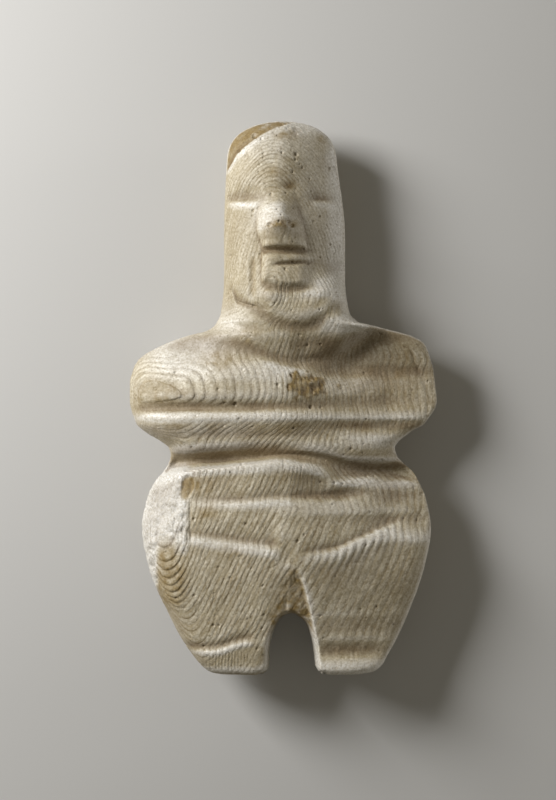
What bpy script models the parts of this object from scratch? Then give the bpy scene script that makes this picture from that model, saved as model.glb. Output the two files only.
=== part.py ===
"""A small standing idol carved from one piece of shell, lying on its back.

The figure lies face up. +Y runs from the soles to the crown, +Z comes out of the
chest and +X is the side seen on the right when the figure is looked down on.
The origin is under the middle of the figure, on the surface that it lies on.

The body is two height fields over one outline: the front and the back. Both are
worked out in millimetres from the soles up and share the outline as their rim.
"""
import bpy
import numpy as np

MM = 0.001

# Driving sizes, mm.
HEIGHT = 80.0
REST_DEPTH = 6.6          # from the rim's plane down to the surface it lies on
CROWN_START = 74.4        # height where the head begins to round over
GAP_TOP = 8.7             # height of the arch between the legs
GAP_MIDDLE = 1.25         # the arch stands a little to the right
GAP_LEFT_REACH = 3.3      # from the arch's middle to the left leg
GAP_RIGHT_REACH = 2.75    # from the arch's middle to the right leg
GAP_FLARE = 0.7           # the right leg leans away by this much at the sole
GAP_ROLL = 1.0            # rounding of the legs' inner edges
GAP_SQUARENESS = 2.6      # 2 rolls them as a quarter circle, more keeps the walls upright
SOLE_EDGE = 0.9           # rounding along the front and back edge of the soles
LEFT_SOLE_CORNER = 0.8
RIGHT_SOLE_CORNER = 1.6
GAP_SOLE_CORNER = 1.2

# The outline: height above the soles, left edge, right edge, mm.
OUTLINE = (
    (0.0, -10.9, 13.9),       # soles
    (2.3, -13.0, 15.1),
    (4.6, -14.65, 16.4),      # ankles
    (8.1, -16.5, 18.0),
    (15.1, -19.5, 20.5),      # thighs
    (20.9, -20.55, 21.5),     # hips, at their widest
    (25.5, -19.7, 20.65),
    (27.9, -18.5, 19.6),      # belly
    (29.0, -17.5, 18.9),
    (31.4, -16.35, 16.55),    # waist
    (32.5, -16.6, 16.25),
    (34.9, -20.1, 18.6),      # under the arms
    (36.0, -21.3, 20.5),
    (39.5, -22.3, 22.35),     # ends of the arm stumps
    (41.8, -22.3, 22.1),
    (44.2, -21.7, 21.8),
    (45.3, -21.1, 21.5),
    (47.65, -17.2, 20.55),    # shoulders
    (48.8, -14.0, 18.7),
    (49.5, -11.2, 16.3),
    (50.1, -10.2, 13.9),      # foot of the neck
    (50.8, -9.65, 11.0),
    (52.3, -9.05, 9.6),
    (57.0, -8.6, 9.0),        # jaw
    (63.0, -8.6, 9.0),
    (74.4, -8.2, 7.8),        # temples
    (80.0, -7.6, 7.3),        # crown, before its rounding
)

# Depths in front of the rim's plane along the middle: height, depth, mm.
HEAD_DEPTH = ((50.0, 6.5), (52.5, 7.0), (54.5, 7.1), (57.0, 6.95), (60.0, 6.5), (64.0, 6.05),
              (66.5, 5.95), (68.5, 5.85), (71.0, 5.7), (74.0, 5.4), (76.5, 5.0), (80.0, 4.4))
NECK_DEPTH = ((44.0, 4.9), (45.9, 5.2), (49.4, 6.3), (52.0, 6.5), (56.0, 6.5))
CHEST_DEPTH = ((30.5, 3.9), (31.4, 4.6), (32.4, 5.45), (34.3, 5.6), (35.2, 5.95), (36.2, 6.45),
               (37.0, 6.75), (38.0, 6.65), (40.0, 6.75), (42.4, 6.65), (43.6, 6.35), (45.5, 5.5),
               (48.0, 4.8), (50.0, 4.3))
HIP_DEPTH = ((0.0, 4.1), (2.0, 4.6), (4.5, 5.15), (8.0, 5.75), (12.0, 6.35), (15.5, 6.85),
             (17.5, 7.05), (22.0, 7.15), (29.0, 7.15), (33.0, 6.4))

# Depth behind the rim's plane; what passes REST_DEPTH is ground flat.
BACK_DEPTH = ((0.0, 4.3), (4.0, 4.5), (10.0, 5.3), (16.0, 6.9), (20.0, 7.6), (24.0, 7.2), (31.0, 5.3),
              (36.0, 6.1), (40.0, 7.1), (44.0, 7.2), (48.0, 5.7), (52.0, 5.1), (58.0, 6.2),
              (64.0, 7.3), (70.0, 7.2), (75.0, 6.2), (80.0, 5.0))

# How square each half of the cross-section is: height, exponent (2 is an ellipse).
LEFT_SQUARENESS = ((0.0, 6.0), (5.0, 12.0), (11.0, 14.0), (14.5, 10.0), (18.0, 7.5), (22.0, 6.0),
                   (27.0, 4.5), (31.0, 5.0), (35.5, 4.0), (40.0, 2.9), (47.0, 2.6), (51.0, 2.2),
                   (56.0, 2.0), (80.0, 1.9))
RIGHT_SQUARENESS = ((0.0, 8.0), (5.0, 20.0), (17.0, 22.0), (21.0, 12.0), (25.0, 8.0), (30.0, 6.0),
                    (34.0, 7.0), (40.0, 7.0), (44.0, 4.5), (48.0, 2.8), (50.5, 2.8), (52.5, 3.5),
                    (55.5, 3.5), (58.0, 2.6), (61.0, 1.65), (70.0, 1.5), (80.0, 1.7))
BACK_SQUARENESS = 2.8

# The ridge of the face stands left of the middle: height, shift, mm.
FACE_SHIFT = ((52.0, 0.0), (60.0, 1.1), (67.0, 1.2), (74.0, 0.5), (80.0, 0.0))
KEEL_ROUND = 0.22         # how soft the ridge of the head is
KEEL_SWELL = 0.68         # below 1 the head's right slope bulges

# The front of the body slopes down to both sides: the drop at each place, row by row.
ROOF_AT = (-20.0, -10.0, -3.0, 0.0, 3.0, 7.0, 12.0, 16.0, 20.0)
ROOF = (
    (0.0, (0.8, 0.35, 0.05, 0.0, 0.12, 0.5, 1.1, 1.7, 2.2)),      # soles
    (7.0, (1.65, 0.74, 0.14, 0.0, 0.25, 1.0, 2.1, 3.1, 4.2)),     # thighs
    (19.0, (1.65, 0.74, 0.14, 0.0, 0.25, 1.0, 2.2, 3.3, 4.3)),
    (23.0, (1.65, 0.74, 0.14, 0.1, 0.45, 1.5, 3.2, 4.8, 6.2)),    # hips
    (26.0, (1.65, 0.74, 0.14, 0.3, 1.1, 2.5, 4.1, 5.7, 6.7)),     # belly
    (28.0, (1.65, 0.74, 0.14, 0.3, 1.1, 2.5, 4.1, 5.7, 6.7)),
    (31.0, (0.3, 0.1, 0.0, 0.1, 0.4, 1.2, 2.4, 3.1, 3.4)),        # waist
    (33.0, (0.0, 0.0, 0.0, 0.05, 0.3, 1.0, 2.0, 2.6, 2.9)),
    (36.5, (0.0, 0.0, 0.0, 0.15, 0.6, 1.6, 3.0, 3.9, 4.3)),       # forearms
    (40.0, (0.0, 0.0, 0.0, 0.2, 0.9, 2.4, 4.3, 5.6, 6.0)),        # chest
    (45.0, (0.0, 0.0, 0.0, 0.3, 1.4, 3.4, 5.2, 6.0, 6.1)),
)
NECK_ROOF = ((-22.0, 0.0), (-3.0, 0.0), (0.0, 0.25), (3.0, 0.9), (6.0, 1.2), (8.5, 1.25), (10.5, 1.9),
             (13.5, 4.5), (15.5, 5.2), (22.0, 5.2))

# Lines where one mass steps down to the next, and half the width of the step: x, mm.
BELLY_TOP = ((-17.0, 28.9), (-14.0, 29.6), (-4.5, 30.7), (0.0, 31.1), (3.0, 30.7), (6.0, 29.9),
             (9.0, 29.0), (12.6, 28.5), (18.0, 28.6))
BELLY_SOFT = ((-17.0, 1.1), (-4.0, 1.1), (0.0, 1.2), (4.0, 1.5), (8.0, 2.0), (12.0, 1.8), (18.0, 1.4))
COLLAR = ((-17.0, 50.5), (-10.0, 48.6), (-4.0, 46.9), (0.0, 46.0), (4.0, 45.7), (6.8, 46.0),
          (9.0, 46.8), (12.6, 48.6), (15.0, 50.4))
COLLAR_SOFT = ((-14.0, 3.2), (-6.0, 2.2), (-2.0, 1.2), (3.0, 1.2), (7.0, 1.6), (12.6, 2.2))

# Mesh: columns from an edge to the middle, and the heights of the rows.
COLUMNS = 15
BELLY_START = 26.5
CHEST_START = 32.5
FACE_START = 51.0
CROWN_ROWS = 8


def ramp(value, start, end):
    """0 at start, 1 at end, with a smooth S between."""
    part = np.clip((value - start) / (end - start), 0.0, 1.0)
    return part * part * (3.0 - 2.0 * part)


def bell(distance, width):
    """1 at distance 0, falling smoothly to nothing over about two widths."""
    return np.exp(-(distance / width) ** 2)


def curve(stations, at):
    """A smooth curve through (place, value) stations that never overshoots them."""
    place = np.array([station[0] for station in stations])
    value = np.array([station[1] for station in stations])
    gap = np.diff(place)
    slope = np.diff(value) / gap
    tangent = np.zeros_like(value)
    tangent[0] = slope[0]
    tangent[-1] = slope[-1]
    for i in range(1, len(place) - 1):
        before, after = slope[i - 1], slope[i]
        if before * after > 0.0:
            tangent[i] = 2.0 * before * after / (before + after)
    at = np.clip(at, place[0], place[-1])
    i = np.clip(np.searchsorted(place, at, side="right") - 1, 0, len(gap) - 1)
    part = (at - place[i]) / gap[i]
    rest = 1.0 - part
    return ((1.0 + 2.0 * part) * rest ** 2 * value[i] + part * rest ** 2 * gap[i] * tangent[i]
            + (3.0 - 2.0 * part) * part ** 2 * value[i + 1] - rest * part ** 2 * gap[i] * tangent[i + 1])


def corner(distance, radius):
    """How far a rounded corner stands back, at this distance from its face."""
    inside = np.clip(radius - distance, 0.0, radius)
    return radius - np.sqrt(radius ** 2 - inside ** 2)


def crown_round(height):
    """1 up to the temples, falling to 0 at the crown."""
    up = np.clip((height - CROWN_START) / (HEIGHT - CROWN_START), 0.0, 1.0)
    return np.clip(1.0 - up ** 2.6, 0.0, 1.0) ** 0.45


def body_edges(height):
    """Left and right edge of the outline at a height."""
    left = curve([(station[0], station[1]) for station in OUTLINE], height)
    right = curve([(station[0], station[2]) for station in OUTLINE], height)
    left = left * crown_round(height) + corner(height, LEFT_SOLE_CORNER)
    right = right * crown_round(height) - corner(height, RIGHT_SOLE_CORNER)
    return left, right


def gap_edges(height):
    """Inner edges of the left and the right leg at a height below the arch's top."""
    up = np.clip(height / GAP_TOP, 0.0, 1.0)
    opening = np.sqrt(1.0 - up ** 3)
    flare = GAP_FLARE * (1.0 - up) * ramp(up, 1.0, 0.85)
    left = GAP_MIDDLE - GAP_LEFT_REACH * opening - corner(height, GAP_SOLE_CORNER)
    right = GAP_MIDDLE + GAP_RIGHT_REACH * opening + flare + corner(height, GAP_SOLE_CORNER)
    return left, right


def gap_distance(x, height):
    """Distance from points to the nearest point of the gap's edge."""
    sample = GAP_TOP * np.sin(np.linspace(0.0, np.pi / 2.0, 60))
    left, right = gap_edges(sample)
    edge_x = np.concatenate([left, right])
    edge_height = np.concatenate([sample, sample])
    across = np.subtract.outer(x, edge_x)
    along = np.subtract.outer(height, edge_height)
    return np.sqrt((across ** 2 + along ** 2).min(axis=-1))


def gap_roll(x, height):
    """0 at the gap's edge, 1 once the legs' inner edges have rolled over."""
    near = np.clip(1.0 - gap_distance(x, height) / GAP_ROLL, 0.0, 1.0)
    return (1.0 - near ** GAP_SQUARENESS) ** (1.0 / GAP_SQUARENESS)


def ridge_line(height):
    """Where the front stands highest across the body."""
    left, right = body_edges(height)
    return (left + right) / 2.0 - curve(FACE_SHIFT, height)


def cross_section(x, height, left_squareness, right_squareness):
    """1 along the ridge line of the body, falling to 0 at the rim on either side."""
    left, right = body_edges(height)
    ridge = ridge_line(height)
    left_part = (ridge - x) / np.maximum(ridge - left, 0.001)
    right_part = (x - ridge) / np.maximum(right - ridge, 0.001)
    part = np.clip(np.maximum(left_part, right_part), 0.0, 1.0)
    return np.sqrt(1.0 - part ** np.where(x < ridge, left_squareness, right_squareness))


def keel(x, height):
    """The head's section: its right half falls away like a roof."""
    right = body_edges(height)[1]
    ridge = ridge_line(height)
    part = np.clip((x - ridge) / np.maximum(right - ridge, 0.001), 0.0, 1.0)
    part = (1.0 + KEEL_ROUND) * part ** 2 / (part + KEEL_ROUND)
    return (1.0 - part) ** KEEL_SWELL


def roof(x, height):
    """How far the front of the trunk and legs slopes down from the middle to its sides."""
    drop = curve(list(zip(ROOF_AT, ROOF[0][1])), x)
    for (low, low_drop), (high, high_drop) in zip(ROOF, ROOF[1:]):
        more = curve(list(zip(ROOF_AT, high_drop)), x) - curve(list(zip(ROOF_AT, low_drop)), x)
        drop = drop + ramp(height, low, high) * more
    return drop


def neck_and_head(x, height):
    """The neck, stepping out to the head along the jaw."""
    jaw = 49.9 + np.where(x < 1.9, 0.055, 0.10) * (x - 1.9) ** 2
    neck = curve(NECK_DEPTH, height) - curve(NECK_ROOF, x) * ramp(height, 56.0, 51.5)
    step = np.clip((height - jaw + 0.9) / (2.8 + 2.2 * ramp(x, 3.0, 8.0)), 0.0, 1.0)
    return neck + (curve(HEAD_DEPTH, height) - neck) * step ** 2 * (3.0 - 2.0 * step)


def trunk_masses(x, height):
    """Chest and hips, with the belly's step between them."""
    chest = curve(CHEST_DEPTH, height + 1.2 * ramp(x, 3.0, 11.0) * ramp(height, 36.0, 33.0))
    chest = chest - 0.14 * np.clip(height - 40.0, 0.0, 7.0) * ramp(x, -6.0, -16.0)
    shoulder = 6.5 + 0.22 * (height - 43.0)
    chest = chest + (shoulder - chest) * ramp(x, 0.0, 6.0) * ramp(height, 42.0, 45.0)
    hips = curve(HIP_DEPTH, height) - 0.9 * ramp(x, -14.0, -19.5) * ramp(height, 16.5, 24.0)
    below = ramp((curve(BELLY_TOP, x) - height) / curve(BELLY_SOFT, x), -1.0, 1.0)
    return chest + (hips - chest) * below * (height < 36.0) - roof(x, height)


def main_masses(x, height):
    """Head, neck, chest and hips, each stepping down to the next along its own line."""
    neck = neck_and_head(x, height)
    below = ramp((curve(COLLAR, x) - height) / curve(COLLAR_SOFT, x), -1.0, 1.0)
    return neck + (trunk_masses(x, height) - neck) * below


def fold(distance, above, below):
    """-1 on a fold of flesh, easing out slowly above it and quickly below it."""
    up = np.exp(-(np.clip(distance, 0.0, None) / above) ** 1.2)
    return -np.where(distance > 0.0, up, bell(distance, below))


def arm_carving(x, height):
    """The groove between the chest and the forearms laid under it."""
    line = curve(((-20.0, 38.3), (-8.0, 38.4), (0.0, 38.6), (20.0, 39.0)), x)
    depth = curve(((-21.5, 0.2), (-19.0, 0.6), (-15.0, 0.85), (-6.0, 0.65), (0.0, 0.5), (14.0, 0.4),
                   (20.0, 0.15)), x)
    away = height - line
    return -depth * np.where(away > 0.0, bell(away, 1.1), bell(away, 0.75))


def collar_carving(x, height):
    """The hollow where the right side of the neck meets the shoulder, and the jaw's ridge."""
    line = curve(((-4.0, 46.4), (2.4, 45.8), (8.3, 46.6), (11.2, 47.8), (13.8, 50.0), (15.2, 51.4),
                  (18.0, 54.0)), x)
    depth = curve(((-6.0, 0.0), (-1.0, 0.12), (4.0, 0.45), (8.0, 1.0), (11.0, 1.5), (13.5, 1.2),
                   (17.5, 0.3)), x)
    away = (height - line) * curve(((2.0, 1.0), (8.0, 0.95), (11.0, 0.85), (13.0, 0.73)), x)
    above = curve(((2.0, 0.8), (8.0, 1.5), (13.0, 1.8)), x)
    below = curve(((2.0, 0.9), (6.0, 2.0), (10.0, 3.2)), x)
    ridge = 0.4 * bell(x - (6.6 + 1.1 * (height - 53.3)), 1.2)
    ridge = ridge * ramp(height, 51.0, 52.5) * ramp(height, 57.5, 55.5)
    return ridge - depth * np.where(away > 0.0, bell(away / above, 1.0), bell(away / below, 1.0))


def waist_carving(x, height):
    """The hollow that the belly's upper edge rises from."""
    depth = curve(((-17.0, 1.4), (-8.0, 1.2), (-1.0, 0.6), (4.0, 0.2), (10.0, 0.1), (16.0, 0.0)), x)
    return -depth * bell(height - curve(BELLY_TOP, x) - 1.1, 1.1)


def belly_carving(x, height):
    """The fold across the belly, the two groins and the roll over the right hip."""
    line = curve(((-12.0, 25.4), (-6.0, 25.5), (0.0, 26.0), (8.0, 26.0), (14.0, 26.6)), x)
    depth = curve(((-14.0, 0.0), (-11.0, 0.3), (-6.0, 0.42), (8.0, 0.4), (13.0, 0.2), (17.0, 0.0)), x)
    left = height - curve(((-14.0, 20.8), (-8.0, 20.0), (-1.0, 19.1)), x)
    left_depth = curve(((-16.0, 0.0), (-12.5, 0.35), (-7.0, 0.5), (-2.2, 0.5), (-0.2, 0.0)), x)
    right = height - curve(((3.0, 18.0), (7.0, 18.5), (11.0, 20.1), (15.0, 21.8), (18.0, 22.6)), x)
    right_depth = curve(((2.0, 0.0), (5.0, 0.3), (9.0, 0.45), (14.0, 0.38), (17.5, 0.0)), x)
    roll = height - curve(((4.0, 26.6), (8.6, 27.5), (14.6, 28.6), (18.0, 28.9)), x)
    roll_depth = curve(((4.0, 0.0), (9.0, 0.15), (15.0, 0.2), (19.0, 0.0)), x)
    return (depth * fold(height - line, 2.4, 0.75)
            + left_depth * (fold(left, 2.6, 0.85) + 0.25 * bell(left + 1.7, 0.9))
            + right_depth * (fold(right, 1.5, 0.55) + 0.45 * bell(right + 1.7, 1.2))
            + roll_depth * (bell(roll, 0.7) - 0.7 * bell(roll + 1.3, 0.7)))


def crotch_carving(x, height):
    """The wedge-shaped recess above the arch, crisp on its right side, and a soft hollow."""
    left_reach = curve(((8.0, 3.6), (11.0, 2.7), (14.0, 1.8), (16.0, 0.8)), height)
    right_line = curve(((4.0, 4.9), (8.7, 3.9), (12.0, 3.1), (15.5, 2.0)), height)
    left_side = ramp(x, GAP_MIDDLE - left_reach - 1.8, GAP_MIDDLE - left_reach + 2.6)
    right_side = ramp(x, right_line + 0.4, right_line - 0.4)
    hollow = bell(x - curve(((9.0, 1.3), (15.0, 0.9), (19.0, 0.2)), height), 1.2)
    hollow = hollow * ramp(height, 15.5, 17.0) * ramp(height, 20.5, 18.0)
    return -0.7 * left_side * right_side * ramp(height, 17.0, 10.0) - 0.25 * hollow


def ankle_carving(x, height):
    """The shallow groove above each foot; the right foot swells below it."""
    left = height - curve(((-15.0, 3.9), (-10.5, 3.8), (-5.2, 5.2), (-2.5, 5.4)), x)
    left_depth = curve(((-14.0, 0.2), (-10.0, 0.35), (-5.5, 0.3), (-4.0, 0.05)), x)
    left_cut = left_depth * (0.6 * bell(left + 0.6, 0.5) - bell(left - 0.3, 0.8))
    right = height - 3.3
    right_depth = curve(((4.5, 0.1), (8.0, 0.35), (13.0, 0.35), (15.0, 0.1)), x)
    right_cut = right_depth * (0.45 * bell(right - 1.9, 0.5) - bell(right, 1.3))
    right_cut = right_cut + 0.8 * ramp(height, 3.8, 0.4) * ramp(x, 3.5, 5.5)
    return np.where(x < GAP_MIDDLE, left_cut, right_cut) * (height < 9.0)


def nose_carving(x, height):
    """A wedge from the brow down to a boxy tip with a nearly flat underside."""
    rise = curve(((60.9, 0.0), (61.2, 0.3), (61.6, 1.5), (62.3, 1.75), (63.6, 1.95), (64.4, 2.2),
                  (65.4, 2.2), (66.4, 1.75), (67.4, 1.15), (68.4, 0.5), (69.8, 0.0)), height)
    left = curve(((60.9, 2.9), (62.2, 3.2), (64.0, 3.8), (66.0, 3.9), (67.9, 3.1), (70.0, 2.0)), height)
    right = curve(((60.9, 3.5), (62.2, 3.2), (64.0, 2.8), (66.0, 2.2), (67.9, 1.7), (70.0, 1.4)), height)
    aside = np.where(x < 0.4, (0.4 - x) / (left + 0.4), (x - 0.4) / right)
    boxy = curve(((61.5, 4.0), (64.0, 3.2), (66.0, 1.9)), height)
    edge = curve(((61.5, 0.55), (64.0, 0.7), (66.0, 1.0)), height)
    return rise * (1.0 - np.clip(aside, 0.0, 1.0) ** boxy) ** edge


def mouth_carving(x, height):
    """A raised block for both lips, parted by a slit."""
    block = curve(((55.2, 0.0), (55.9, 0.35), (56.7, 0.8), (57.6, 0.9), (58.6, 0.85), (59.4, 0.75),
                   (59.9, 0.6), (60.3, 0.3), (60.7, 0.0)), height)
    left_side = np.clip((x + 3.1) / 1.0, 0.0, 1.0)
    side = np.sqrt(1.0 - (1.0 - left_side) ** 2) * ramp(x, 4.6, 2.0)
    slit = 0.4 * bell(height - (58.95 + 0.09 * (x - 0.5)), 0.3) * ramp(x, -2.0, 0.0)
    return (block - slit) * side


def face_carving(x, height):
    """Brow line, nose, lips, chin and the edge of the jaw."""
    brow = curve(((-8.4, 0.3), (-6.0, 0.55), (-3.8, 0.3), (-2.6, 0.0), (3.0, 0.0), (5.0, 0.35),
                  (7.0, 0.5), (8.6, 0.3)), x)
    away = height - 68.48
    brow = -brow * np.where(away > 0.0, bell(away, 1.5), bell(away, 0.5))
    chin = 0.45 * bell(x + 1.9, 1.9) * bell(height - 54.4, 1.6)
    under = height - curve(((-7.4, 55.6), (-6.6, 53.7), (-5.3, 53.2), (-3.0, 52.6)), x)
    jaw = -0.4 * ramp(x, -8.2, -6.6) * ramp(x, -1.5, -3.5)
    jaw = jaw * np.where(under > 0.0, bell(under, 1.3), bell(under, 0.5))
    return brow + nose_carving(x, height) + mouth_carving(x, height) + chin + jaw


def crown_facet(x, height):
    """1 on the smooth facet worn on the left of the crown."""
    edge = curve(((-8.6, 71.6), (-7.9, 72.7), (-6.3, 75.1), (-4.0, 76.9), (-1.6, 78.3), (1.0, 79.3),
                  (3.0, 80.0)), x)
    return ramp(height - edge, -0.05, 0.3) * ramp(x, 2.8, 1.6)


def front_depth(x, height):
    """How far the front stands out from the rim's plane."""
    section = cross_section(x, height, curve(LEFT_SQUARENESS, height), curve(RIGHT_SQUARENESS, height))
    section = section + (np.minimum(keel(x, height), section) - section) * ramp(height, 54.5, 59.5)
    carving = (arm_carving(x, height) + collar_carving(x, height) + waist_carving(x, height)
               + belly_carving(x, height) + crotch_carving(x, height) + ankle_carving(x, height)
               + face_carving(x, height))
    depth = main_masses(x, height) * section + carving * ramp(section, 0.15, 0.6)
    depth = depth - 0.45 * crown_facet(x, height) * ramp(section, 0.0, 0.5)
    return (depth * crown_round(height) - corner(height, SOLE_EDGE)) * gap_roll(x, height)


def back_depth(x, height):
    """How far the plainer back stands behind the rim's plane."""
    cleft = 0.9 * bell(x - 0.3, 1.0) * ramp(height, 9.0, 13.0) * ramp(height, 22.0, 19.0)
    section = cross_section(x, height, BACK_SQUARENESS, BACK_SQUARENESS)
    depth = (curve(BACK_DEPTH, height) - cleft) * section * crown_round(height)
    depth = (depth - corner(height, SOLE_EDGE)) * gap_roll(x, height)
    return np.minimum(depth, REST_DEPTH)


def row_heights():
    """Heights of the mesh rows: fine at the soles, the belly's edge, the face and the crown."""
    soles = [0.0, 0.3, 0.8, 1.6, 2.6, 3.6]
    legs = list(np.linspace(4.5, GAP_TOP - 0.15, 4))
    body = list(np.linspace(GAP_TOP, BELLY_START, 12))[:-1]
    waist = list(np.linspace(BELLY_START, CHEST_START, 12))[:-1]
    chest = list(np.linspace(CHEST_START, FACE_START, 16))
    face = list(np.linspace(FACE_START, CROWN_START, 31))[1:]
    turn = np.linspace(0.0, np.pi / 2.0, CROWN_ROWS + 1)[1:-1]
    crown = list(CROWN_START + (HEIGHT - CROWN_START) * np.sin(turn))
    return soles + legs + body + waist + chest + face + crown


def spread(height):
    """Places from an edge (0) to the middle (1), closer together where the form rolls over."""
    step = np.linspace(0.0, 1.0, COLUMNS + 1)
    body = 1.0 - np.cos(step * np.pi / 2.0)
    body = 0.6 * body + 0.4 * step
    leg = 0.5 - 0.5 * np.cos(step * np.pi)
    leg = 0.7 * leg + 0.3 * step
    above = ramp(height, GAP_TOP, GAP_TOP + 6.0)
    return body * above + leg * (1.0 - above)


def row_runs(height):
    """The row's stretches of material: one each for two legs, or one for the whole body."""
    left, right = body_edges(height)
    place = spread(height)
    if height < GAP_TOP:
        leg_left, leg_right = gap_edges(height)
        left_leg = left + (leg_left - left) * place
        right_leg = right + (leg_right - right) * place
        return [left_leg, right_leg[::-1]]
    middle = GAP_MIDDLE * ramp(height, 30.0, GAP_TOP)
    left_half = left + (middle - left) * place
    right_half = right + (middle - right) * place
    return [np.concatenate([left_half, right_half[::-1][1:]])]


class Shell:
    """Gathers the vertices and faces of the body."""

    def __init__(self):
        self.points = []
        self.faces = []

    def point(self, x, height, z):
        self.points.append((x * MM, (height - HEIGHT / 2.0) * MM, (z + REST_DEPTH) * MM))
        return len(self.points) - 1

    def run(self, xs, height):
        """One run's front and back vertices; they share the two ends on the rim."""
        heights = np.full(len(xs), height)
        front = front_depth(xs, heights)
        back = -back_depth(xs, heights)
        first = self.point(xs[0], height, 0.0)
        last = self.point(xs[-1], height, 0.0)
        inner = range(1, len(xs) - 1)
        front_run = [first] + [self.point(xs[i], height, front[i]) for i in inner] + [last]
        back_run = [first] + [self.point(xs[i], height, back[i]) for i in inner] + [last]
        return front_run, back_run

    def strip(self, lower, upper, turned):
        """Faces between two runs of the same length."""
        for i in range(len(lower) - 1):
            face = [lower[i], lower[i + 1], upper[i + 1], upper[i]]
            face = [corner_ for n, corner_ in enumerate(face) if corner_ not in face[:n]]
            self.faces.append(face[::-1] if turned else face)


def build_rows(shell):
    """All rows from the soles up, each a list of (front, back) runs."""
    rows = []
    for height in row_heights():
        rows.append([shell.run(xs, height) for xs in row_runs(height)])
    return rows


def split_at_gap(run):
    """A whole row's run as the two halves that the legs' runs join."""
    return [run[:COLUMNS + 1], run[COLUMNS:]]


def build_figurine():
    shell = Shell()
    rows = build_rows(shell)
    for lower, upper in zip(rows[:-1], rows[1:]):
        for side in (0, 1):
            above = [run[side] for run in upper]
            if len(lower) == 2 and len(upper) == 1:
                above = split_at_gap(above[0])
            for low_run, high_run in zip([run[side] for run in lower], above):
                shell.strip(low_run, high_run, turned=side == 1)
    for front_run, back_run in rows[0]:
        shell.strip(back_run, front_run, turned=False)
    crown = shell.point(0.0, HEIGHT, 0.0)
    front_run, back_run = rows[-1][0]
    for side_run, turned in ((front_run, False), (back_run, True)):
        for i in range(len(side_run) - 1):
            face = [side_run[i], side_run[i + 1], crown]
            shell.faces.append(face[::-1] if turned else face)
    mesh = bpy.data.meshes.new("figurine")
    mesh.from_pydata(shell.points, [], shell.faces)
    mesh.validate()
    mesh.shade_smooth()
    figurine = bpy.data.objects.new("figurine", mesh)
    bpy.context.scene.collection.objects.link(figurine)
    figurine.data.materials.append(shell_material())
    return figurine


def shell_material():
    """Worn ivory-coloured shell."""
    material = bpy.data.materials.new("carved_shell")
    material.use_nodes = True
    surface = material.node_tree.nodes["Principled BSDF"]
    surface.inputs["Base Color"].default_value = (0.62, 0.54, 0.43, 1.0)
    surface.inputs["Roughness"].default_value = 0.55
    surface.inputs["Metallic"].default_value = 0.0
    return material


def main():
    for item in list(bpy.data.objects):
        bpy.data.objects.remove(item, do_unlink=True)
    build_figurine()


main()
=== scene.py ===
# %% [markdown]
# # A stone-age idol, cut from one thick piece of sea shell
#
# The real figure is about as long as a finger. It looks sawn out of the wall of a
# large shell, ground to its outline, filed in its folds and then left smooth. A shell
# grows in thin layers, so every curve that was ground through them shows rings, like
# the contour lines of a map. Time roughened it: soft layers wore back, hard ones stand
# proud, and ochre-coloured earth stayed in the low places.
#
# This script follows the same order: the outline, the carved body, the layers, the
# wear, and last the colour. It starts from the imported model, which gives the size,
# the place and the body that every new piece rides on.

import bpy
import numpy as np
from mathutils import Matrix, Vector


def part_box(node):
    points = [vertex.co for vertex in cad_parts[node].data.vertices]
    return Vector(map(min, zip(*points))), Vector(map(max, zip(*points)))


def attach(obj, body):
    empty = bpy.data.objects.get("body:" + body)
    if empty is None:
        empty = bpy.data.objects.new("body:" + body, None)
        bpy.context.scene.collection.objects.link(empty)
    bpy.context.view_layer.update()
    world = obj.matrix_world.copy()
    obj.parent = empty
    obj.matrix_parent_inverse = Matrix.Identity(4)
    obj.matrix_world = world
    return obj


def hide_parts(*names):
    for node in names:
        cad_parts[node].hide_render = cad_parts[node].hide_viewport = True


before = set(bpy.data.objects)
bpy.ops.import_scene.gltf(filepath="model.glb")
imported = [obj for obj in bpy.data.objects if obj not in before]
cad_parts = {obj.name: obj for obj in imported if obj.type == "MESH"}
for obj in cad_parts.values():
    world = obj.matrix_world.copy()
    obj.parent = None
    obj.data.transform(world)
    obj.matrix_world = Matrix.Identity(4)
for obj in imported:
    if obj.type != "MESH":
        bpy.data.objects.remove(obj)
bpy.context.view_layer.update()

cad_low, cad_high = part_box("figurine")
print("packed box, mm:", [round((high - low) * 1000.0, 2) for low, high in zip(cad_low, cad_high)])

# %% [markdown]
# ## Sizes
#
# All carving is worked out in millimetres, from the soles up: `x` runs across the
# figure, `height` runs from the soles to the crown, and depth is counted from the
# plane of the rim. A rim, a front and a back are enough for a flat idol. Its length
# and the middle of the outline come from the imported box.

# %% Sizes from the frame
MM = 0.001
HEIGHT = (cad_high[1] - cad_low[1]) / MM
MIDDLE_Y = (cad_high[1] + cad_low[1]) / 2.0
REST_DEPTH = 6.6                  # the back is ground flat here, this far behind the rim
CROWN_START = 74.4
CROWN_BEND = 2.6
CROWN_FULLNESS = 0.45
GAP_TOP = 8.7
GAP_MIDDLE = 1.25
SOLE_EDGE = 0.9
LEFT_SOLE_CORNER = 0.8
RIGHT_SOLE_CORNER = 1.6
GAP_SOLE_CORNER = 1.2
print("figure is", round(HEIGHT, 2), "mm tall")

# %% [markdown]
# ## Small carving tools
#
# Carving by formula needs few tools. `ramp` is a soft step, `bell` a soft bump,
# `groove` a bell with two different sides, `corner` a rounded arris and `spots` a
# number of soft ovals. `curve` is a line through a few stations that never swings past
# them, so that a waist stays exactly as narrow as it is stated.


# %% Ramp, bell, groove, corner, spots and curve
def ramp(value, start, end):
    """0 at start, 1 at end, with a smooth S between."""
    part = np.clip((value - start) / (end - start), 0.0, 1.0)
    return part * part * (3.0 - 2.0 * part)


def bell(distance, width):
    """1 at distance 0, falling smoothly to nothing over about two widths."""
    return np.exp(-(distance / width) ** 2)


def groove(distance, above, below):
    """A bell whose upper and lower side have their own width."""
    return np.where(distance > 0.0, bell(distance, above), bell(distance, below))


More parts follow.
